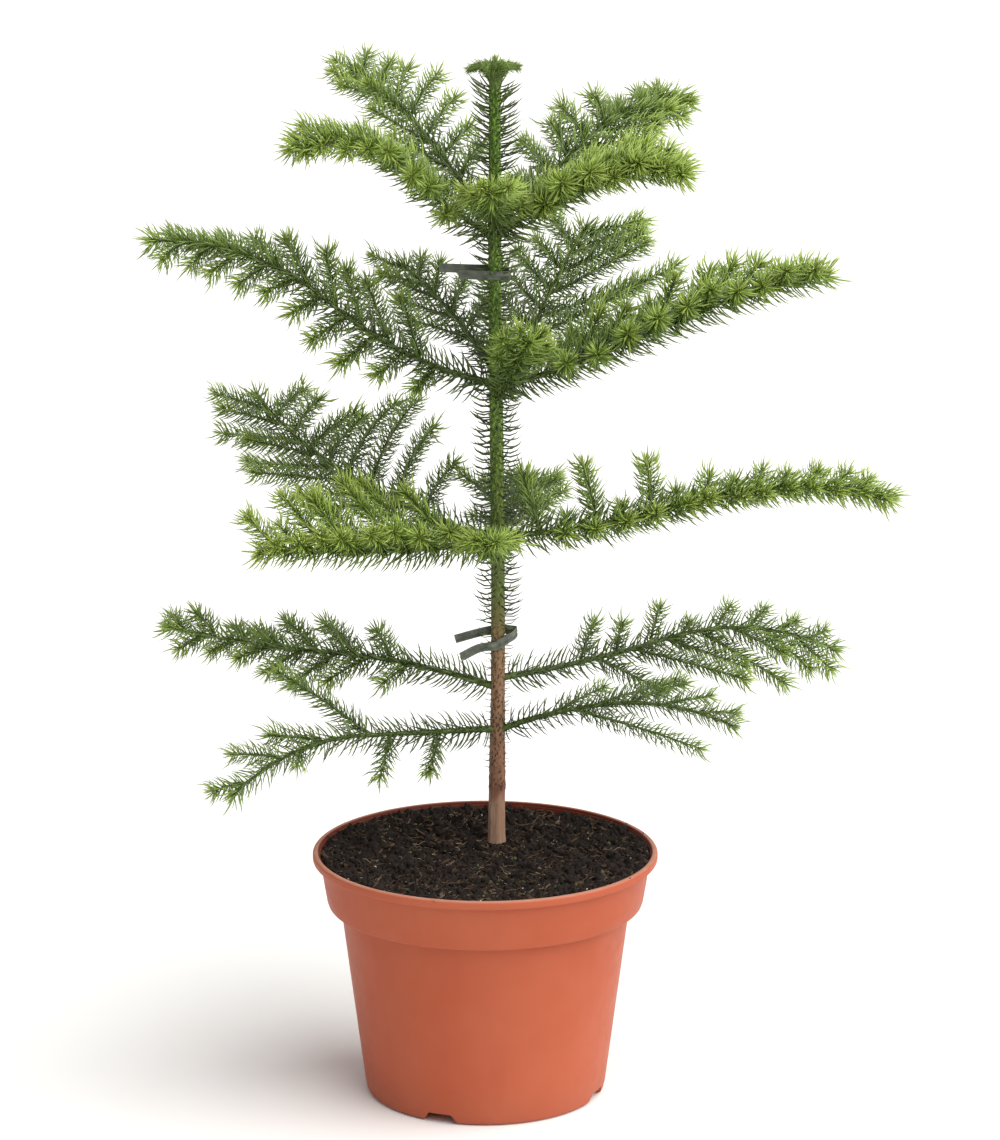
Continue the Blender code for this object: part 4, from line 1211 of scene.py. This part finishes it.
def growFronds(whorl):
    names = [name for name in fronds if name.startswith(whorl + "_")]
    boughPaths = []
    sidePaths = []
    bed = NeedleBed(ord(whorl))
    for name in names:
        size = fronds[name]
        # The frond's needle age carries painted light and shade as well.
        youthAndLight = frondYouthAndLight[name]
        lush = frondLush[name]
        longer = math.sqrt(lush)
        path = midrib(name)
        skin = trunkRadius(size["height"]) * 0.6 / size["length"]
        stem = np.array([along(path, skin + (1 - skin) * k / 40)[0] for k in range(40)] + [path[-1]])
        radii = np.linspace(shoots["boughRadius"], shoots["boughTipRadius"], len(stem))
        swelling = 0.0006 * np.exp(-np.arange(len(stem)) / 1.6)
        boughPaths.append((stem, radii + swelling))
        girth = (shoots["boughRadius"], shoots["boughTipRadius"])
        bed.onShoot(
            stem, girth, (0.015, 1.0), needle["boughSpacing"] / lush,
            lambda s: needle["boughLength"] * longer * (1.0 - 0.24 * s ** 3),
            lambda s: needle["boughLean"] - 8 * s, lambda s: youthAndLight - 0.20 + 0.40 * s ** 1.5, "long",
        )
        bed.onShoot(
            stem, girth, (0.01, 1.0), needle["baseSpacing"],
            lambda s: np.full(len(s), needle["baseLength"]), lambda s: needle["baseLean"] + 0 * s,
            lambda s: youthAndLight - 0.12 + 0.25 * s, "straight",
        )
        bed.crown(stem, shoots["boughTipRadius"], round(12 * lush), 0.0098 * longer, youthAndLight + 0.27, "long")
        for place, twig in twigPaths(name):
            thick = np.linspace(shoots["twigRadius"], shoots["twigTipRadius"], len(twig))
            sidePaths.append((twig, thick))
            length = np.linalg.norm(np.diff(twig, axis=0), axis=1).sum()
            shorter = min(1.0, 0.80 + length * 7)
            reach = needle["twigLength"] * shorter * longer
            bed.onShoot(
                twig, (thick[0], thick[-1]), (0.05, 0.98), needle["twigSpacing"] / lush,
                lambda s: reach * (1.0 - 0.08 * s ** 2), lambda s: needle["twigLean"] - 4 * s,
                lambda s: youthAndLight - 0.10 + 0.12 * place + 0.34 * s ** 1.6,
                "straight" if bed.rng.random() < 0.5 else "curved",
            )
            bed.onShoot(
                twig, (thick[0], thick[-1]), (0.05, 0.98), needle["twigBaseSpacing"],
                lambda s: np.full(len(s), needle["twigBaseLength"]), lambda s: needle["baseLean"] + 0 * s,
                lambda s: youthAndLight + 0.04 + 0.12 * place + 0.30 * s, "straight",
            )
            fresh = youthAndLight + 0.25 + 0.10 * place
            bed.crown(twig, thick[-1], round(9 * longer), reach * 1.02, fresh, "curved")
    return names, boughPaths, sidePaths, bed


def layNeedles(bed, label, kit, nodeNames):
    rows = np.concatenate(bed.rows)
    tones = list(needleTones)
    pick = np.clip((rows[:, 10] * len(tones)).astype(int), 0, len(tones) - 1)
    for k, tone in enumerate(tones):
        pieces = []
        for n, shape in enumerate(needleShapes):
            chosen = rows[(pick == k) & (rows[:, 11] == n)]
            if not len(chosen):
                continue
            mesh = bpy.data.meshes.new(label)
            mesh.from_pydata(chosen[:, 0:3].tolist(), [], [])
            for name, first in (("aim", 3), ("bulge", 6)):
                arrows = mesh.attributes.new(name, "FLOAT_VECTOR", "POINT")
                arrows.data.foreach_set("vector", chosen[:, first:first + 3].ravel())
            mesh.attributes.new("reach", "FLOAT", "POINT").data.foreach_set("value", chosen[:, 9])
            piece = linkMesh(f"{label}{tone.capitalize()}Needles", mesh)
            values = {"Needle": kit["shapes"][shape], "Material": kit["looks"][tone]}
            pieces.append(useTree(piece, kit["tree"], values))
        if not pieces:
            continue
        joined = joinPieces(pieces)
        finish(joined, "needles" if tone in ("deep", "dark", "mid") else "fresh_needles", *nodeNames)
    return len(rows)


def joinPieces(pieces):
    first = pieces[0]
    if len(pieces) > 1:
        bm = bmesh.new()
        for piece in pieces:
            bm.from_mesh(piece.data)
        bm.to_mesh(first.data)
        bm.free()
        for piece in pieces[1:]:
            bpy.data.objects.remove(piece, do_unlink=True)
    return first


def shootLook():
    look, shader, nodes, links = newLook("greenShoot", shoots["woodColour"], 0.6, 0.35)
    coords = objectCoords(nodes)
    patchy = noiseOn(nodes, links, coords, 420, 5, 0.6)
    body = rampOf(nodes, links, patchy, (
        (0.35, shoots["darkColour"]), (0.52, shoots["woodColour"]), (0.72, shoots["paleColour"]),
    ))
    links.new(body, shader.inputs["Base Color"])
    scales = noiseOn(nodes, links, coords, 1100, 4, 0.6)
    bumpOn(nodes, links, shader, ((scales, 0.0002, 0.7),))
    return look


def makeFronds():
    tubes = shootTree()
    kit = {
        "tree": needleTree(),
        "shapes": {name: needleShape(name) for name in needleShapes},
        "looks": {},
    }
    for tone, colour in needleTones.items():
        kit["looks"][tone] = plainLook(tone + "Needle", colour, 0.45, 0.45)
    boughLook = shootLook()
    twigLook = plainLook("greenTwig", shoots["twigColour"], 0.55)
    for whorl, label in whorls.items():
        names, boughPaths, sidePaths, bed = growFronds(whorl)
        boughs = pathMesh(label + "Boughs", boughPaths)
        useTree(boughs, tubes, {"Sides": shoots["boughSides"], "Material": boughLook})
        finish(boughs, "green_shoot", *["bough_" + name for name in names])
        twigs = pathMesh(label + "Twigs", sidePaths)
        useTree(twigs, tubes, {"Sides": shoots["twigSides"], "Material": twigLook})
        masses = ["mass_" + name for name in names]
        finish(twigs, "green_shoot", *masses)
        count = layNeedles(bed, label, kit, masses)
        print(f"{label} done: {count} needles")
    return kit, tubes


# Needles of the trunk, and the growing tip

leader = {
    "stubsFrom": 0.156,
    "greenFrom": 0.236,
    "thickFrom": 0.400,
    "spacing": ((0.150, 0.00050), (0.236, 0.00048), (0.300, 0.00044), (0.420, 0.00034), (0.500, 0.00026)),
    "reach": (
        (0.150, 0.0044), (0.215, 0.0064), (0.236, 0.0104),
        (0.300, 0.0114), (0.430, 0.0122), (0.500, 0.0134),
    ),
    "lean": ((0.150, 78), (0.300, 76), (0.430, 72), (0.500, 58)),
    "youth": ((0.150, 0.05), (0.236, 0.12), (0.330, 0.20), (0.500, 0.27)),
    "baseFrom": 0.262,
    "baseSpacing": 0.00016,
    "baseLength": 0.0030,
    "baseLean": 20,
    "baseYounger": 0.30,
    # Arms of the growing tip: heading, reach in mm, droop in mm.
    "arms": (
        (186, 13.2, 2.0), (8, 11.8, 1.0), (128, 11.5, 1.5), (68, 11.0, 1.5),
        (236, 9.5, 1.2), (306, 9.5, 1.0), (272, 6.0, 0.5),
    ),
    "armRadius": 0.00170,
    "armStart": 0.0010,
    "armLift": 0.0088,
    "budRise": 0.0126,
}


def spiralUp(bed, low, high, spacing, reach, lean, youth, shape):
    zs = []
    z = low
    while z < high:
        zs.append(z)
        z += spacing(z)
    zs = np.array(zs)
    count = len(zs)
    centres = np.array([trunkCentre(z) for z in zs])
    girths = np.array([trunkRadius(z) for z in zs]) * 1.6
    turn = np.cumsum(needle["goldenTurn"] + bed.rng.uniform(-9, 9, count))
    bed.place(centres, np.tile([0, 0, 1.0], (count, 1)), turn, girths, reach(zs), lean(zs), youth(zs), shape)


def fromPairs(pairs):
    places, values = zip(*pairs)
    return lambda z: np.interp(z, places, values)


def makeLeader(kit, tubes):
    bed = NeedleBed(77)
    spacing, reach = fromPairs(leader["spacing"]), fromPairs(leader["reach"])
    lean, youth = fromPairs(leader["lean"]), fromPairs(leader["youth"])
    top = trunk["tip"] - 0.001
    spiralUp(bed, leader["stubsFrom"], leader["greenFrom"], spacing, reach, lean, youth, "curved")
    spiralUp(bed, leader["greenFrom"], leader["thickFrom"], spacing, reach, lean, youth, "hooked")
    spiralUp(bed, leader["thickFrom"], top, spacing, reach, lean, youth, "long")
    # Short green leaf bases cover the upper trunk.
    spiralUp(
        bed, leader["baseFrom"], top, lambda z: leader["baseSpacing"],
        lambda z: leader["baseLength"] + 0 * z, lambda z: leader["baseLean"] + 0 * z,
        lambda z: youth(z) + leader["baseYounger"], "straight",
    )
    count = layNeedles(bed, "trunk", kit, ["trunk"])

    tip = NeedleBed(91)
    base = trunkCentre(trunk["tip"])
    bud = np.array([base + np.array([0, 0, h]) for h in np.linspace(-0.003, leader["budRise"], 7)])
    stems = [(bud, np.interp(np.linspace(0, 1, 7), (0, 0.35, 0.7, 1), (0.0026, 0.0031, 0.0024, 0.0008)))]
    tip.onShoot(
        bud, (0.0030, 0.0012), (0.1, 1.0), 0.00008,
        lambda s: 0.0044 - 0.0014 * s, lambda s: 24 - 13 * s, lambda s: 0.46 + 0.28 * s, "straight",
    )
    for heading, far, droop in leader["arms"]:
        out = direction(heading, 0)
        points = []
        for u in np.linspace(0, 1, 9):
            fall = droop / 1000 * max(0.0, (u - 0.45) / 0.55) ** 1.6
            rise = leader["armLift"] * math.sin(math.pi / 2 * min(1.0, u / 0.42)) - fall
            reached = leader["armStart"] + (far / 1000 - leader["armStart"]) * u
            points.append(base + np.array([0, 0, 0.0002 + rise]) + out * reached)
        path = np.array(points)
        shares = np.interp(np.linspace(0, 1, 9), (0, 0.25, 0.8, 1), (1.0, 1.2, 1.0, 0.45))
        girths = leader["armRadius"] * shares
        stems.append((path, girths))
        tip.onShoot(
            path, (0.0019, 0.0011), (0.05, 1.0), 0.000075,
            lambda s: 0.0040 - 0.0010 * s, lambda s: 42 - 14 * s, lambda s: 0.36 + 0.30 * s, "curved",
        )
        tip.onShoot(
            path, (0.0016, 0.0010), (0.10, 1.0), 0.00045,
            lambda s: 0.0060 - 0.0014 * s, lambda s: 60 - 20 * s, lambda s: 0.40 + 0.25 * s, "straight",
        )
    tip.crown(bud, 0.0010, 9, 0.0048, 0.62, "straight")
    stalks = pathMesh("leaderTipShoots", stems)
    useTree(stalks, tubes, {"Sides": 10, "Material": plainLook("leaderTip", shoots["tipColour"], 0.5)})
    finish(stalks, "fresh_needles", "mass_leader")
    count += layNeedles(tip, "leaderTip", kit, ["mass_leader"])
    for shape in kit["shapes"].values():
        bpy.data.objects.remove(shape, do_unlink=True)
    print(f"leader done: {count} needles")


# The plant ties

ties = {
    "width": 0.0044,
    "thickness": 0.0010,
    "clear": 0.0007,
    # Height; how far it reaches left behind and in front; how wide its loop is at the right; then its rise
    # in mm at the rear end, behind the trunk, at its right, in front of it and at the front end.
    "upper": (0.4045, 0.0268, 0.0175, 1.70, (4.5, 3.6, 1.4, 1.9, 2.1)),
    "lower": (0.2190, 0.0212, 0.0180, 2.00, (3.9, 8.8, 9.0, 2.4, -3.6)),
    # Across the band, from its middle to its edge: a wire ridge, a flat and a rounded edge. Shares of half
    # its width and of half its thickness.
    "section": ((0.0, 1.0), (0.16, 1.0), (0.24, 0.62), (0.80, 0.62), (0.95, 0.5), (1.0, 0.0)),
    "colour": (0.070, 0.080, 0.062),
    "middleColour": (0.125, 0.142, 0.110),
    "paleColour": (0.235, 0.262, 0.205),
}


def tiePath(height, rearReach, frontReach, loop, rises):
    x, y, _ = trunkCentre(height)
    grip = trunkRadius(height) + ties["clear"] + ties["thickness"] / 2
    rearEnd, behind, right, before, frontEnd = [height + rise / 1000 for rise in rises]
    points = [np.array([x - rearReach, y + grip * 0.75, rearEnd])]
    points.append(np.array([x - rearReach * 0.45, y + grip * 0.85, rearEnd * 0.35 + behind * 0.65]))
    for k in range(9):
        turn = 100 - 25 * k
        a = math.radians(turn)
        wide = 1.0 + (loop - 1.0) * max(0.0, math.cos(a))
        level = float(np.interp(turn, (-100, 0, 100), (before, right, behind)))
        points.append(np.array([x + grip * wide * math.cos(a), y + grip * math.sin(a), level]))
    points.append(np.array([x - frontReach * 0.5, y - grip * 0.80, before * 0.8 + frontEnd * 0.2]))
    points.append(np.array([x - frontReach, y - grip * 0.55, frontEnd]))
    return points


def smoothPath(points, per=5):
    out = []
    padded = [2 * points[0] - points[1]] + list(points) + [2 * points[-1] - points[-2]]
    for p0, p1, p2, p3 in zip(padded[:-3], padded[1:-2], padded[2:-1], padded[3:]):
        for j in range(per):
            t = j / per
            square = (2 * p0 - 5 * p1 + 4 * p2 - p3) * t * t
            cube = (3 * p1 - p0 - 3 * p2 + p3) * t ** 3
            out.append(0.5 * (2 * p1 + (p2 - p0) * t + square + cube))
    return out + [points[-1]]


def tieLook():
    look, shader, nodes, links = newLook("tieBand", ties["colour"], 0.5, 0.5)
    coords = objectCoords(nodes)
    worn = noiseOn(nodes, links, coords, 240, 5, 0.6)
    body = rampOf(nodes, links, worn, (
        (0.35, ties["colour"]), (0.58, ties["middleColour"]), (0.78, ties["paleColour"]),
    ))
    # Faces that look up get the pale colour: a painted highlight along the band's top edge.
    normal = nodes.new("ShaderNodeNewGeometry").outputs["Normal"]
    paintedTopHighlight = rangeOf(nodes, links, partsOf(nodes, links, normal)["Z"], 0.35, 0.80, 0.0, 0.8)
    body = mixOf(nodes, links, paintedTopHighlight, body, ties["paleColour"])
    links.new(body, shader.inputs["Base Color"])
    links.new(rangeOf(nodes, links, worn, 0.3, 0.7, 0.38, 0.62), shader.inputs["Roughness"])
    ribs = noiseOn(nodes, links, coords, 1400, 3, 0.6)
    bumpOn(nodes, links, shader, ((ribs, 0.0001, 0.6),))
    return look


def makeTies():
    look = tieLook()
    for name in ("upper", "lower"):
        path = smoothPath(tiePath(*ties[name]))
        bm = bmesh.new()
        rings = []
        half, deep = ties["width"] / 2, ties["thickness"] / 2
        section = [(u, deep * v) for u, v in ties["section"]]
        outline = [(u * half, v) for u, v in section]
        outline += [(u * half, -v) for u, v in section[-2::-1]]
        outline += [(-u * half, -v) for u, v in section[1:]]
        outline += [(-u * half, v) for u, v in section[-2:0:-1]]
        for i, point in enumerate(path):
            forward = unit(path[min(i + 1, len(path) - 1)] - path[max(i - 1, 0)])
            across = unit(np.cross((0, 0, 1.0), forward))
            up = np.cross(forward, across)
            rings.append([bm.verts.new(point + up * u + across * v) for u, v in outline])
        bridge(bm, rings)
        bm.faces.new(rings[0][::-1])
        bm.faces.new(rings[-1])
        made = meshFrom(name + "Tie", bm, look, smoothAngle=50)
        finish(made, "tie_band", "tie_" + name)
    print("ties done")


setCamera()
setStudio()
makePot()
makeSoil()
makeTrunk()
makeTies()
makeLeader(*makeFronds())
shown = [o for o in bpy.data.objects if o.type == "MESH" and not o.hide_render]
faces = sum(len(p.vertices) - 2 for o in shown for p in o.data.polygons)
print(f"{faces} triangles shown")
